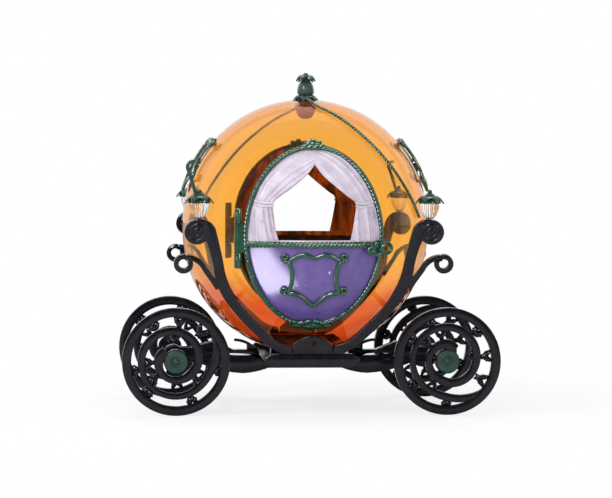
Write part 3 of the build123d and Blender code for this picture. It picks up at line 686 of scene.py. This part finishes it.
# Curtains: one moulding with folds that fan out from a tie on each side
# Columns: x, height over the rail, along the inner edge from the crossing down to the rail
EDGE_RIGHT = [
    (0.6, 79.4), (8.4, 69.0), (19.8, 58.8), (33.5, 47.6), (40.6, 42.4), (41.6, 38.5),
    (41.0, 33.0), (38.6, 18.0), (35.5, 3.4),
]
EDGE_LEFT = [
    (0.6, 79.4), (-6.7, 69.9), (-20.6, 57.8), (-33.0, 48.6), (-39.4, 43.4), (-41.2, 39.0),
    (-41.0, 34.0), (-39.0, 18.0), (-35.5, 3.4),
]
CROSSING_X = 6.8
FOLDS = 4
FOLD_H = 4.0
# Share of the folds' height that shows on the inner face
FOLD_BACK = 0.7
# The rounded edge: its share of the width, and its drop
HEM = 0.03
HEM_DROP = 0.9
# Ties: heights over the rail at both edges, and the two cords round the gathered folds
TIE_IN = 40.5
TIE_OUT = 41.0
TIE_RIGHT = [(40.6, 40.2), (47.0, 39.2), (54.0, 39.6), (60.2, 41.6)]
TIE_LEFT = [(-40.2, 40.6), (-47.0, 39.8), (-54.0, 40.4), (-60.0, 42.8)]
TIE_SPREAD = (-1.6, 1.5)
TIE_W = 2.9
TIE_H = 2.2
STRIP_H = 4.6


def curtain_edges(rows, flip):
    """Inner edge, the oval across from it, and how far each point is past the tie, from -1 to 1."""
    inner = even(smooth_line(rows), 1.0)
    inner[:, 1] += RAIL_Z
    foot = math.degrees(math.asin((RAIL_Z + rows[-1][1] - DOOR_Z) / LEAF_HALF_H))
    top = 90 - math.degrees(math.asin(CROSSING_X / LEAF_HALF_W))
    outer = even(oval(LEAF_HALF_W, LEAF_HALF_H, top, foot if flip > 0 else 180 - foot, 400), 0.5)
    # The tie sits at the same share of both edges, so that the folds run through it
    share = lengths(inner) / lengths(inner)[-1]
    along = lengths(outer) / lengths(outer)[-1]
    tie_in = share[np.argmin(np.abs(inner[:, 1] - RAIL_Z - TIE_IN))]
    tie_out = along[np.argmin(np.abs(outer[:, 1] - RAIL_Z - TIE_OUT))]
    before = share / tie_in * tie_out
    after = tie_out + (share - tie_in) / (1 - tie_in) * (1 - tie_out)
    matched = np.where(share < tie_in, before, after)
    edge = np.column_stack([np.interp(matched, along, column) for column in outer.T])
    past = (share - tie_in) / np.where(share < tie_in, tie_in, 1 - tie_in)
    return inner, edge, past


def fold_relief(u, v, flip):
    """Height of the folds at shares u across and v past the tie: low at the tie and at the crossing."""
    gather = np.clip(np.abs(v) * 5, 0.25, 1)
    fade = np.where(v < 0, 1 - 0.82 * np.clip(-v, 0, 1) ** 0.7, 1.0)
    wander = 0.3 * np.sin(2.5 * v + 1.5 * flip) + 0.35 * np.sin(6 * u + flip)
    pleat = (1 - np.abs(np.sin(math.pi * (FOLDS * u + wander)))) ** 1.2
    fine = np.abs(np.sin(math.pi * (2.3 * FOLDS * u + 0.6 * v + flip)))
    return FOLD_H * gather * fade * (0.88 * pleat + 0.12 * fine)


def slab(form, front, back, rows, columns):
    """Closed plate between two grids of points, given row by row."""
    faces = []
    shift = rows * columns
    for i in range(rows - 1):
        for j in range(columns - 1):
            a = i * columns + j
            faces.append((a, a + 1, a + columns + 1, a + columns))
            faces.append(tuple(shift + k for k in (a, a + columns, a + columns + 1, a + 1)))
    last = shift - columns
    ring = list(range(columns))
    ring += [i * columns + columns - 1 for i in range(1, rows)]
    ring += [last + j for j in range(columns - 2, -1, -1)]
    ring += [i * columns for i in range(rows - 2, 0, -1)]
    for a, b in zip(ring, ring[1:] + ring[:1]):
        faces.append((a, b, shift + b, shift + a))
    form.put(front + back, faces)


def curtain_half(form, rows, sign, flip):
    """Pleated plate from the inner edge to the door's oval; its inner face follows the folds."""
    inner, edge, past = curtain_edges(rows, flip)
    u = np.concatenate([[0, 0.012, 0.03], np.linspace(0.055, 0.945, 54), [0.975, 1.0]])
    line = inner[:, None] + u[None, :, None] * (edge - inner)[:, None]
    relief = fold_relief(u[None], past[:, None], flip)
    hem = np.clip(np.minimum(u, 1 - u) / HEM, 0, 1) ** 0.5
    lift = 0.1 + relief * hem - HEM_DROP * (1 - hem)
    sink = FOLD_BACK * relief + 0.2 - SHELL_WALL
    front = []
    back = []
    for at in np.ndindex(relief.shape):
        front.append(lay([line[at]], lift[at], sign)[0][0])
        back.append(lay([line[at]], sink[at], sign)[0][0])
    slab(form, front, back, *relief.shape)


def foot_strip(form, sign):
    """Narrow strip of the curtain moulding along the top of the rail."""
    reach = LEAF_HALF_W * math.sqrt(1 - ((RAIL_Z + STRIP_H - DOOR_Z) / LEAF_HALF_H) ** 2) - 0.5
    grid = []
    for x in np.linspace(-reach, reach, 60):
        rows = [(STRIP_H, 0.0), (STRIP_H - 0.4, 0.4), (0.2, 0.4)]
        rows += [(0.2, 0.3 - SHELL_WALL), (STRIP_H, 0.3 - SHELL_WALL)]
        grid.append([lay([(x, RAIL_Z + z)], lift, sign)[0][0] for z, lift in rows])
    form.skin(np.array(grid))


def curtains(form, sign):
    """Both curtains with their ties and the strip along the rail as one form."""
    for rows, ties, way in ((EDGE_RIGHT, TIE_RIGHT, 1), (EDGE_LEFT, TIE_LEFT, -1)):
        curtain_half(form, rows, sign, way)
        for rise in TIE_SPREAD:
            line = smooth_line([(x, RAIL_Z + z + rise) for x, z in ties])
            laid_rod(form, even(line, 0.8), 1.0, sign, TIE_W, TIE_H)
    foot_strip(form, sign)


# Shield ornament of round rod with curled corners, on each door and on each end face
SHIELD_W = 4.3
SHIELD_H = 3.3
SHIELD_LIFT = 1.9
SHIELD_DROP = 36.2
# Columns: x, z from the shield's middle, for its +X half
SHIELD_LINES = [
    [(0.0, 22.3), (4.0, 24.4), (10.5, 26.4), (17.5, 24.8), (23.0, 21.4), (26.4, 20.2)],
    [(26.4, 20.2), (24.2, 14.6), (22.4, 8.0), (22.2, 0.5), (23.2, -6.0), (26.0, -12.4)],
    [(26.6, -12.8), (20.0, -12.9), (13.5, -15.4), (6.0, -20.8), (0.0, -26.4)],
]
# Columns: x, rise, radius, start angle, degrees of turn, width
SHIELD_CURLS = [(29.4, 23.6, 4.3, 225, 520, 3.0), (29.6, -9.8, 3.9, 225, 500, 2.8)]


def shield(form, z, sign, face="side", lift=SHIELD_LIFT):
    """The ornament's rods and curls about a height, on a side or end face."""
    for rows in SHIELD_LINES:
        for flip in (-1, 1):
            line = even(smooth_line([(x * flip, z + rise) for x, rise in rows]), 0.7)
            laid_rod(form, line, lift, sign, SHIELD_W, SHIELD_H, face)
    curls(form, SHIELD_CURLS, z, sign, face, lift)


def door_shield(form, sign):
    """The shield on the door's lower panel."""
    shield(form, RAIL_Z - SHIELD_DROP, sign)


# Latch at the free edge: a ring, an S-shaped tail and a small coil on the rail
LATCH_X = 73.3
LATCH_Z = RAIL_Z - 3.8
LATCH_RING_R = 4.9
LATCH_LIFT = 6.3
# Width and height of the rods of the ring and of the tail
LATCH_RING_ROD = (3.7, 3.6)
LATCH_TAIL_ROD = (3.3, 3.2)


def latch(form, sign):
    """Ring, tail and coil as one form."""
    ring = coil((LATCH_X, LATCH_Z), (LATCH_RING_R, LATCH_RING_R), (0, 351))
    laid_rod(form, ring, LATCH_LIFT, sign, *LATCH_RING_ROD, loop=True)
    tail = smooth_line([
        (LATCH_X - 1.5, LATCH_Z - LATCH_RING_R), (66.8, LATCH_Z - 4.6), (62.8, LATCH_Z - 6.4),
        (58.4, LATCH_Z - 6.0),
    ])
    spiral = coil((57.4, LATCH_Z - 1.6), (4.2, 0.9), (-80, -80 - 480))
    tail = even(np.vstack([tail[:-1], spiral]), 0.6)
    laid_rod(form, tail, LATCH_LIFT, sign, *LATCH_TAIL_ROD)


# Small stars printed on the door's lower panel
# Columns: x, z under the rail, radius, points
STARS = [
    (15.1, 27.7, 2.3, 4), (-14.1, 34.2, 0.7, 6), (-15.6, 40.1, 0.6, 6), (-8.5, 40.7, 0.7, 6),
    (20.0, 33.0, 0.6, 6),
]
STAR_LIFT = 0.08
STAR_WAIST = 0.28


def stars(form, sign):
    """The print as thin plates, half sunk into the panel."""
    for x, drop, radius, points in STARS:
        line = []
        for i in range(2 * points):
            reach = radius * (STAR_WAIST if i % 2 else 1.0)
            turn = math.pi * i / points + math.pi / 2
            line.append((x + reach * math.cos(turn), RAIL_Z - drop + reach * math.sin(turn)))
        front = lay(line, STAR_LIFT, sign)[0]
        back = lay(line, -STAR_LIFT, sign)[0]
        form.skin(np.array([back, front]))


# Finial: drooping base leaves, a lobed egg, a crown of curled leaves and a tip

FINIAL_TOP = mm_box("finial")[1].z
CROWN_Z = BODY_Z + BODY_HALF_H
FINIAL_LEAVES = 6
STEM_R = 4.0
# Columns: radius, height over the body's crown
FINIAL_SIDE = [
    (0.2, -1.5), (7.0, -1.5), (6.4, 2.0), (5.6, 3.4), (7.8, 5.2), (8.7, 7.6), (8.7, 9.4), (8.2, 12.4),
    (7.3, 15.0), (6.3, 17.0), (5.0, 18.0), (4.2, 19.6), (3.6, 21.6), (3.2, 23.4), (2.9, 24.8),
    (2.2, FINIAL_TOP - CROWN_Z - 0.9), (0.2, FINIAL_TOP - CROWN_Z - 0.1),
]
# Columns: degrees of turn, height, length, width, bend, thickness
FINIAL_PETALS = [
    (20, 2.6, 13.0, 11.5, (1.4, -4.6), 1.8),
    (50, 1.6, 11.0, 9.0, (0.6, -3.0), 1.6),
    (0, 23.4, 8.0, 10.0, (1.2, -4.6), 1.9),
    (30, 21.2, 6.8, 8.6, (0.8, -3.2), 1.6),
]
PETAL_ROOT = 1.8


def finial():
    """The whole ornament on the crown, with the stem through the shell."""
    form = Form()
    rows = smooth_line(FINIAL_SIDE, 3)
    rows[:, 0] = np.maximum(rows[:, 0], 0.15)
    rows[:, 1] = np.minimum(rows[:, 1], FINIAL_TOP - CROWN_Z - 0.05)
    lathe(form, (0, 0, CROWN_Z), UP, ALONG, rows, 72, flutes=10, depth=0.06)
    for i in range(FINIAL_LEAVES):
        for start, rise, length, width, bend, thick in FINIAL_PETALS:
            ahead = towards(start + 360 * i / FINIAL_LEAVES, ALONG, ACROSS)
            root = UP * (CROWN_Z + rise) + PETAL_ROOT * ahead
            petal(form, root, ahead, UP, length, width, bend, thick)
    foot = mm_box("finial")[0].z
    stem = [(0.2, foot), (STEM_R, foot), (STEM_R, CROWN_Z), (0.2, CROWN_Z)]
    lathe(form, (0, 0, 0), UP, ALONG, stem, 32)
    piece("finial_leaves", form, finial_green, "root", ["finial"], 50)


# Columns: share of the cup's radius, share of its height
BOSS_SIDE = [
    (0.2, 0.0), (0.45, 0.04), (0.68, 0.18), (0.86, 0.42), (0.98, 0.7), (1.0, 0.94), (0.94, 0.965),
    (0.2, 0.99),
]


def crown_boss():
    """Tapered cup under the shell that takes the finial's stem."""
    lo, hi = mm_box("finial_boss")
    height = hi.z - lo.z
    form = Form()
    rows = [(max(r, 0.02) * hi.x, z * height) for r, z in smooth_line(BOSS_SIDE, 3)]
    lathe(form, (0, 0, lo.z), UP, ALONG, rows, 48)
    piece("crown_boss", form, boss_orange, "root", ["finial_boss"])


# Twisted cords over the shell, each in a tilted plane but for its upper end
TRIM_NORMAL = np.array((0.693, 0.456, 0.559))
TRIM_DROP = 18.9
TRIM_END_Z = BODY_Z + 11
TRIM_LIFT = 1.9
TRIM_W = 3.3
TRIM_RIDGE = 3.4
# Columns: x, y of the upper end, which bends to the finial's foot; then the x where the arc starts
TRIM_LEAD = [(0.0, -8.0), (0.2, -17.0), (1.6, -28.0), (5.0, -39.5)]
TRIM_ARC_X = 11.0


def trim_arc(ball_z, radius):
    """Part of the circle where the trim's plane cuts the upper ball, from the crown's side down."""
    normal = unit(TRIM_NORMAL)
    reach = (CROWN_Z - ball_z) * normal[2] - TRIM_DROP
    first = unit(np.cross(normal, UP))
    second = np.cross(normal, first)
    turn = np.radians(np.arange(0, 360, 0.25))
    rim = math.sqrt(radius**2 - reach**2) * (np.outer(np.cos(turn), first) + np.outer(np.sin(turn), second))
    circle = ball_z * UP + reach * normal + rim
    keep = (circle[:, 0] > TRIM_ARC_X) & (circle[:, 1] < 0) & (circle[:, 2] > TRIM_END_Z + 0.5)
    start = int(np.argmax(keep & ~np.roll(keep, 1)))
    arc = np.roll(circle, -start, axis=0)[np.roll(keep, -start)]
    return arc if arc[0, 2] > arc[-1, 2] else arc[::-1]


def rope_trims():
    """The green cord on each side of the body, the far one the near one turned half round."""
    ball_z = BODY_Z + BAND
    radius = BODY_R + TRIM_LIFT
    arc = trim_arc(ball_z, radius)
    lead = [(x, y, ball_z + math.sqrt(radius**2 - x**2 - y**2)) for x, y in TRIM_LEAD]
    path = even(smooth_line(np.vstack([lead, arc[:-1:12], arc[-1:]])), 0.4)
    for name, flip in (("near", 1), ("far", -1)):
        form = Form()
        line = path * (flip, flip, 1)
        rope(form, line, unit(line - (0, 0, ball_z)), TRIM_W, TRIM_W, TRIM_RIDGE)
        piece("rope_cord_" + name, form, green, "root", ["rope_trim_" + name])


# End faces: the shield stands off the body on a bar and a round boss
END_Z = BODY_Z + 63
END_LIFT = 4.3
# Bar behind the shield: its ends above and below the middle, its width and height
END_BAR = (22.0, -25.6)
END_BAR_ROD = (3.4, 3.0)
# Columns: radius, height
END_BOSS = [
    (0.2, 0), (7.5, 0), (7.5, 2.4), (6.7, 3.2), (5.3, 3.3), (4.7, 2.6), (2.6, 2.6), (2.0, 3.4), (0.2, 3.5),
]


def end_shields():
    """Shield, bar and boss on each end face, as one piece."""
    for name, sign in ENDS.items():
        form = Form()
        shield(form, END_Z, sign, "end", END_LIFT)
        line = even([(0, END_Z + rise) for rise in END_BAR], 1.0)
        laid_rod(form, line, END_LIFT, sign, *END_BAR_ROD, "end")
        point, up = lay([(0, END_Z)], 0.2, sign, "end")
        lathe(form, point[0], up[0], ACROSS, END_BOSS, 40)
        piece("end_shield_" + name, form, green, "root", ["end_frame_" + name])


# Lamps: a fluted clear bulb under a cap of drooping petals, two of them with a tendril

BULB_H = 18.0
BULB_SIDE = [(3.2, 0), (4.6, 1.2), (6.8, 4.2), (8.6, 8.4), (9.5, 12.2), (8.9, 15.6), (5.6, 17.9)]
CAP_DROP = 4.0
CAP_SIDE = [
    (0.2, 4.6), (8.4, 3.4), (10.8, 1.2), (11.4, 1.6), (10.4, 4.2), (8.4, 6.6), (6.2, 8.6), (4.2, 10.2),
    (2.6, 11.4), (1.7, 12.2), (0.2, 12.4),
]
PETALS = 6
# Heights over the cap's rim: of the petals' roots, which stand off the axis, and of the bead
PETAL_RISE = 7.6
PETAL_OUT = 3.4
PETAL_SIZE = (10.8, 10.5)
PETAL_BEND = (1.0, -6.8)
BEAD_RISE = 12.9
BEAD_R = 2.3
# The tendril: the lamps with one, its rod, and its line as x and height over the cap's rim
HOOKED = ("near_left", "far_right")
HOOK_ROD = (3.6, 3.4)
HOOK_LINE = [
    (-2.2, 6.0), (-6.4, 20.0), (-10.2, 32.0), (-11.6, 36.4), (-10.6, 40.2), (-7.4, 42.4), (-3.4, 42.6),
]


def lamp_bulb(corner, place):
    """Clear fluted bulb of one lamp."""
    form = Form()
    rows = [(0.2, 0.05), *smooth_line(BULB_SIDE, 3), (0.2, BULB_H - 0.05)]
    lathe(form, place, UP, ALONG, rows, 96, flutes=12, depth=0.1)
    piece("bulb_fluted_" + corner, form, clear, "root", ["lamp_bulb_" + corner], 60)


def lamp_cap(corner, place):
    """Petalled cap of one lamp, with its bead and, on two of them, the tendril."""
    form = Form()
    rim = place + UP * (BULB_H - CAP_DROP)
    lathe(form, rim, UP, ALONG, CAP_SIDE, 96, flutes=PETALS, depth=0.26)
    for i in range(PETALS):
        ahead = towards(i * 360 / PETALS, ALONG, ACROSS)
        root = rim + UP * PETAL_RISE + PETAL_OUT * ahead
        petal(form, root, ahead, UP, *PETAL_SIZE, PETAL_BEND, 1.5, tip=0.6)
    ball(form, rim + UP * BEAD_RISE, BEAD_R)
    if corner in HOOKED:
        path = even(smooth_line([(x, 0, z) for x, z in HOOK_LINE]), 0.8) + rim
        rod(form, path, np.tile(ACROSS, (len(path), 1)), *HOOK_ROD)
    piece("cap_petals_" + corner, form, dark_green, "root", ["lamp_cap_" + corner], 50)


def lamps():
    """The four lamps, each over its CAD bulb."""
    for corner in CORNERS:
        lo, hi = mm_box("lamp_bulb_" + corner)
        place = np.array(((lo.x + hi.x) / 2, (lo.y + hi.y) / 2, lo.z))
        lamp_bulb(corner, place)
        lamp_cap(corner, place)


# Spiral wheels: rim, a band that leaves it at a cusp and coils in to the hub, leaf bridges
WHEEL_T = 9.0
RIM_W = 9.2
HUB_R = 12.4
BORE_R = 1.9
# Radius of the rounded edges of rim, band and hub
EDGE = 1.1
BAND_SETBACK = 0.12
# Degrees by which each wheel has rolled
ROLLED = {"near_left": -25, "near_right": 53, "far_left": 160, "far_right": -110}
# Columns: degrees clockwise from the cusp, outer radius, inner radius of the band
BAND_ROWS = [
    (-14, 47.0, 45.0), (12, 44.6, 37.4), (40, 39.8, 31.6), (65, 38.0, 30.6), (95, 37.8, 31.2),
    (143, 38.0, 32.2), (188, 38.4, 31.4), (233, 38.0, 30.0), (278, 35.6, 27.6),
    (323, 32.0, 24.0), (368, 28.2, 19.6), (413, 24.6, 15.4), (458, 22.6, 15.0),
    (503, 22.0, 15.4), (548, 22.2, 13.6), (580, 22.0, 11.0), (612, 19.5, 9.0),
]
# Columns: degrees clockwise from the cusp, distance from the centre, half length, half height
LEAF_ROWS = [
    (38, 42.2, 5.0, 3.8), (93, 41.4, 5.4, 4.4), (158, 41.4, 6.5, 4.4), (193, 41.6, 5.5, 4.2),
    (263, 41.4, 6.0, 4.6), (300, 39.5, 5.0, 6.4), (335, 38.6, 5.0, 7.4),
    (68, 26.5, 3.6, 5.6), (168, 26.8, 4.2, 6.0), (203, 26.4, 4.0, 5.6), (293, 24.0, 4.6, 5.0),
]


def band_sections(outer, inner, half_t):
    """Sections of a flat band with rounded edges: rows (distance from the centre, along the axle)."""
    points = []
    corners = ((outer, 1, 1), (inner, -1, 1), (inner, -1, -1), (outer, 1, -1))
    for edge, way, up in corners:
        for turn in np.radians((0, 30, 60, 90) if way * up > 0 else (90, 60, 30, 0)):
            reach = edge - way * EDGE * (1 - math.cos(turn))
            points.append(np.stack([reach, 0 * edge + up * (half_t - EDGE * (1 - math.sin(turn)))], -1))
    return np.stack(points, 1)


def turned(sections, turn):
    """Sections (distance, along the axle) set at their angles round the axle."""
    reach = sections[..., 0]
    return np.stack([reach * np.cos(turn)[:, None], sections[..., 1], reach * np.sin(turn)[:, None]], -1)


def wheel_leaf(form, angle, far, half_l, half_h):
    """Leaf bridge: two crossed slanting lenses over a flat one."""
    out = towards(-angle, ALONG, UP)
    on = np.cross(out, ACROSS)
    for way in (-1, 1):
        lean = unit(out * 1.1 + on * 0.75 * way)
        middle = out * far + on * way * half_l * 0.36
        lens(form, middle, lean, -ACROSS, 2.3 * half_h, 1.15 * half_l, WHEEL_T - 1.2, point=1.3)
    lens(form, out * far, on, -ACROSS, 2.3 * half_l, 3.4, WHEEL_T - 0.4)


def wheel_form(radius):
    """The wheel about the origin, its axle along Y, seen from -Y with the cusp at +X."""
    form = Form()
    half = WHEEL_T / 2
    turn = np.radians(np.arange(0, 360, 3.0))
    ones = np.ones(len(turn))
    form.skin(turned(band_sections(radius * ones, (radius - RIM_W) * ones, half), turn), loop=True)
    rows = smooth_line(BAND_ROWS, 10)
    sections = band_sections(rows[:, 1], rows[:, 2], half - BAND_SETBACK)
    form.skin(turned(sections, np.radians(-rows[:, 0])))
    side, face = HUB_R - EDGE, half - EDGE
    hub = [(BORE_R, -half), (side, -half), (HUB_R, -face), (HUB_R, face), (side, half), (BORE_R, half)]
    lathe(form, (0, 0, 0), ACROSS, ALONG, hub, 64)
    for row in LEAF_ROWS:
        wheel_leaf(form, *row)
    return form


def wheels():
    """The four wheels: one moulding, rolled, and turned half round on the far side."""
    for corner, rolled in ROLLED.items():
        lo, hi = mm_box("wheel_" + corner)
        centre = np.array((lo + hi) / 2)
        form = wheel_form((hi.z - lo.z) / 2)
        points = np.array(form.points)
        turn = math.radians(rolled)
        x = points[:, 0] * math.cos(turn) + points[:, 2] * math.sin(turn)
        z = points[:, 2] * math.cos(turn) - points[:, 0] * math.sin(turn)
        flip = 1 if centre[1] < 0 else -1
        form.points = list(centre + np.column_stack([flip * x, flip * points[:, 1], z]))
        piece("wheel_spiral_" + corner, form, black, "wheel_" + corner, ["wheel_" + corner], 30)


# Black mouldings that stay the CAD's own, with their edges rounded
SOFT_BLACK = ["arm_" + corner for corner in CORNERS]
SOFT_BLACK += ["fan_near", "fan_far", "side_beam_near", "side_beam_far"]
SOFT_BLACK += ["chassis_spine", "leaf_left", "leaf_right"]
HINGE_ROUND = 0.7

on_doors("frame_rope_", "door_frame_", door_frame, green)
on_doors("curtain_folds_", "door_curtains_", curtains, curtain_faces, 60)
on_doors("shield_", "door_cartouche_", door_shield, green)
on_doors("latch_ring_", "latch_", latch, green)
on_doors("stars_", None, stars, white)
finial()
crown_boss()
rope_trims()
end_shields()
lamps()
wheels()
for node in SOFT_BLACK:
    softened(node, black)
for side_name in SIDES:
    softened("hinge_" + side_name, green, HINGE_ROUND)


# Stage, light and camera

def seen_directly(tree):
    """The kinds of ray, and 1 for those from the camera or through clear plastic, else 0."""
    rays = add(tree, "ShaderNodeLightPath")
    seen = math_node(tree, "MAXIMUM", rays.outputs["Is Camera Ray"], rays.outputs["Is Transmission Ray"])
    return rays, seen


def choose(tree, share, first, second, output):
    """Mix of two shaders, into the tree's output."""
    mix = add(tree, "ShaderNodeMixShader", share, first, second)
    feed(tree, tree.nodes[output], Surface=mix.outputs["Shader"])


FLOOR_HALF = 6.0
FLOOR_GREY = (0.92, 0.92, 0.92, 1)
WHITE = (1, 1, 1, 1)
# The floor turns plain white between these distances, in metres, and keeps part of the shadow
WHITE_FROM = 0.22
WHITE_TO = 0.5
SHADOW_KEPT = 0.2


def white_floor():
    """Floor that takes the shadow and fades into the white room."""
    mesh = bpy.data.meshes.new("floor")
    corners = [(x * FLOOR_HALF, y * FLOOR_HALF, 0) for x, y in ((-1, -1), (1, -1), (1, 1), (-1, 1))]
    mesh.from_pydata(corners, [], [(0, 1, 2, 3)])
    floor = bpy.data.objects.new("floor", mesh)
    bpy.context.scene.collection.objects.link(floor)
    material, shader, tree = new_material("floor")
    feed(tree, shader, Base_Color=FLOOR_GREY, Roughness=0.9, Specular_IOR_Level=0.0)
    mesh.materials.append(material)
    distance = math_node(tree, "LENGTH", coords(tree), kind=VECTOR_MATH)
    bare = remap(tree, distance, 1 - SHADOW_KEPT, 1.0, WHITE_FROM, WHITE_TO, "SMOOTHSTEP")
    white = add(tree, "ShaderNodeEmission")
    whiteness = math_node(tree, "MULTIPLY", bare, seen_directly(tree)[1])
    choose(tree, whiteness, shader.outputs["BSDF"], white.outputs["Emission"], "Material Output")


WORLD_LIGHT = 0.38
# Strength of the room before the object in mirrored rays
ROOM_DIM = 0.12


def white_room():
    """A room that is seen white; gloss sees it white behind the object and dim before it."""
    world = bpy.data.worlds.new("studio")
    bpy.context.scene.world = world
    world.use_nodes = True
    tree = world.node_tree
    lit = tree.nodes["Background"]
    feed(tree, lit, Color=WHITE, Strength=WORLD_LIGHT)
    rays, seen = seen_directly(tree)
    glossy_ray = rays.outputs["Is Glossy Ray"]
    axes = add(tree, "ShaderNodeSeparateXYZ", coords(tree, "Generated"))
    depth = remap(tree, axes.outputs["Y"], ROOM_DIM, 1.0, -0.5, 0.35, "SMOOTHSTEP")
    dimmed = math_node(tree, "MULTIPLY", glossy_ray, math_node(tree, "SUBTRACT", 1.0, depth))
    strength = math_node(tree, "SUBTRACT", 1.0, dimmed)
    room = add(tree, "ShaderNodeBackground", Color=WHITE, Strength=strength)
    shown = math_node(tree, "MAXIMUM", seen, glossy_ray)
    choose(tree, shown, lit.outputs["Background"], room.outputs["Background"], "World Output")


white_floor()
white_room()

MIDDLE = Vector((0, 0, BODY_Z * MM))


def softbox(name, place, width, height, power):
    """Rectangular lamp that faces the body, hidden but for its light and reflections."""
    data = bpy.data.lights.new(name, "AREA")
    data.shape = "RECTANGLE"
    data.size = width
    data.size_y = height
    data.energy = power
    lamp = bpy.data.objects.new(name, data)
    lamp.location = place
    lamp.visible_camera = False
    lamp.visible_transmission = False
    lamp.rotation_mode = "QUATERNION"
    lamp.rotation_quaternion = (MIDDLE - Vector(place)).to_track_quat("-Z", "Y")
    bpy.context.scene.collection.objects.link(lamp)
    return lamp


def shared_light(lamp, state, things):
    """Limits a lamp to some objects, or keeps it off them."""
    group = bpy.data.collections.new(lamp.name + "_group")
    for thing in things:
        group.objects.link(thing)
    for row in group.collection_objects:
        row.light_linking.link_state = state
    lamp.light_linking.receiver_collection = group


# Lamps: place, width, height and power; the key and the top one leave out the shell
key = softbox("key", (-1.4, -1.0, 1.2), 0.5, 0.5, 17)
softbox("fill", (1.5, -1.2, 0.5), 0.6, 0.8, 4)
softbox("front", (-0.4, -2.3, 1.4), 0.3, 0.3, 14)
top = softbox("top", (0.1, 0.3, 1.6), 0.5, 0.5, 9)
for lamp in (key, top):
    shared_light(lamp, "EXCLUDE", [frame["nodes"]["shell_" + name] for name in SIDES])

# A low card, face up, that glints in the doors' lower panels only
CARD_TURN = 45
card = softbox("card", (-0.34, -0.37, 0.02), 0.66, 0.2, 6)
flat = Matrix.Rotation(math.radians(CARD_TURN), 4, "Z") @ Matrix.Rotation(math.pi, 4, "X")
card.rotation_quaternion = flat.to_quaternion()
card.visible_diffuse = False
shared_light(card, "INCLUDE", [frame["nodes"]["door_panel_" + name] for name in SIDES])

# Panels that glint on the green and black mouldings only
GLINTS = [
    ("glint_high", (-0.8, -1.9, 1.9), 1.3, 1.0, 80),
    ("glint_right", (1.6, -1.9, 0.8), 0.8, 0.8, 18),
    ("glint_left", (-1.8, -1.9, 0.4), 0.6, 0.5, 10),
]
glossy = {green.name, black.name}
mouldings = [
    thing for thing in bpy.data.objects
    if thing.type == "MESH" and glossy & set(thing.data.materials.keys())
]
for row in GLINTS:
    glint = softbox(*row)
    glint.visible_diffuse = False
    shared_light(glint, "INCLUDE", mouldings)

# Camera, fitted to the photo; angles in degrees, lengths in metres
CAMERA_AZIMUTH = -4.5205
CAMERA_ELEVATION = 2.5594
CAMERA_ROLL = 0.2422
CAMERA_DISTANCE = 2.9971
CAMERA_TARGET = Vector((0.00104, 0.0, 0.16237))
FOCAL_PIXELS = 2900
PHOTO_WIDTH = 612
SENSOR_WIDTH = 36.0

camera_data = bpy.data.cameras.new("camera")
camera = bpy.data.objects.new("camera", camera_data)
bpy.context.scene.collection.objects.link(camera)
back = Vector(towards(CAMERA_ELEVATION, towards(CAMERA_AZIMUTH, -ACROSS, ALONG), UP))
camera.location = CAMERA_TARGET + back * CAMERA_DISTANCE
camera.rotation_mode = "QUATERNION"
turn = Matrix.Rotation(math.radians(CAMERA_ROLL), 4, "Z").to_quaternion()
camera.rotation_quaternion = (-back).to_track_quat("-Z", "Y") @ turn
camera_data.sensor_width = SENSOR_WIDTH
camera_data.lens = FOCAL_PIXELS * SENSOR_WIDTH / PHOTO_WIDTH
camera_data.clip_start = 0.1
camera_data.clip_end = 60.0
bpy.context.scene.camera = camera

bpy.context.scene.view_settings.view_transform = "Standard"
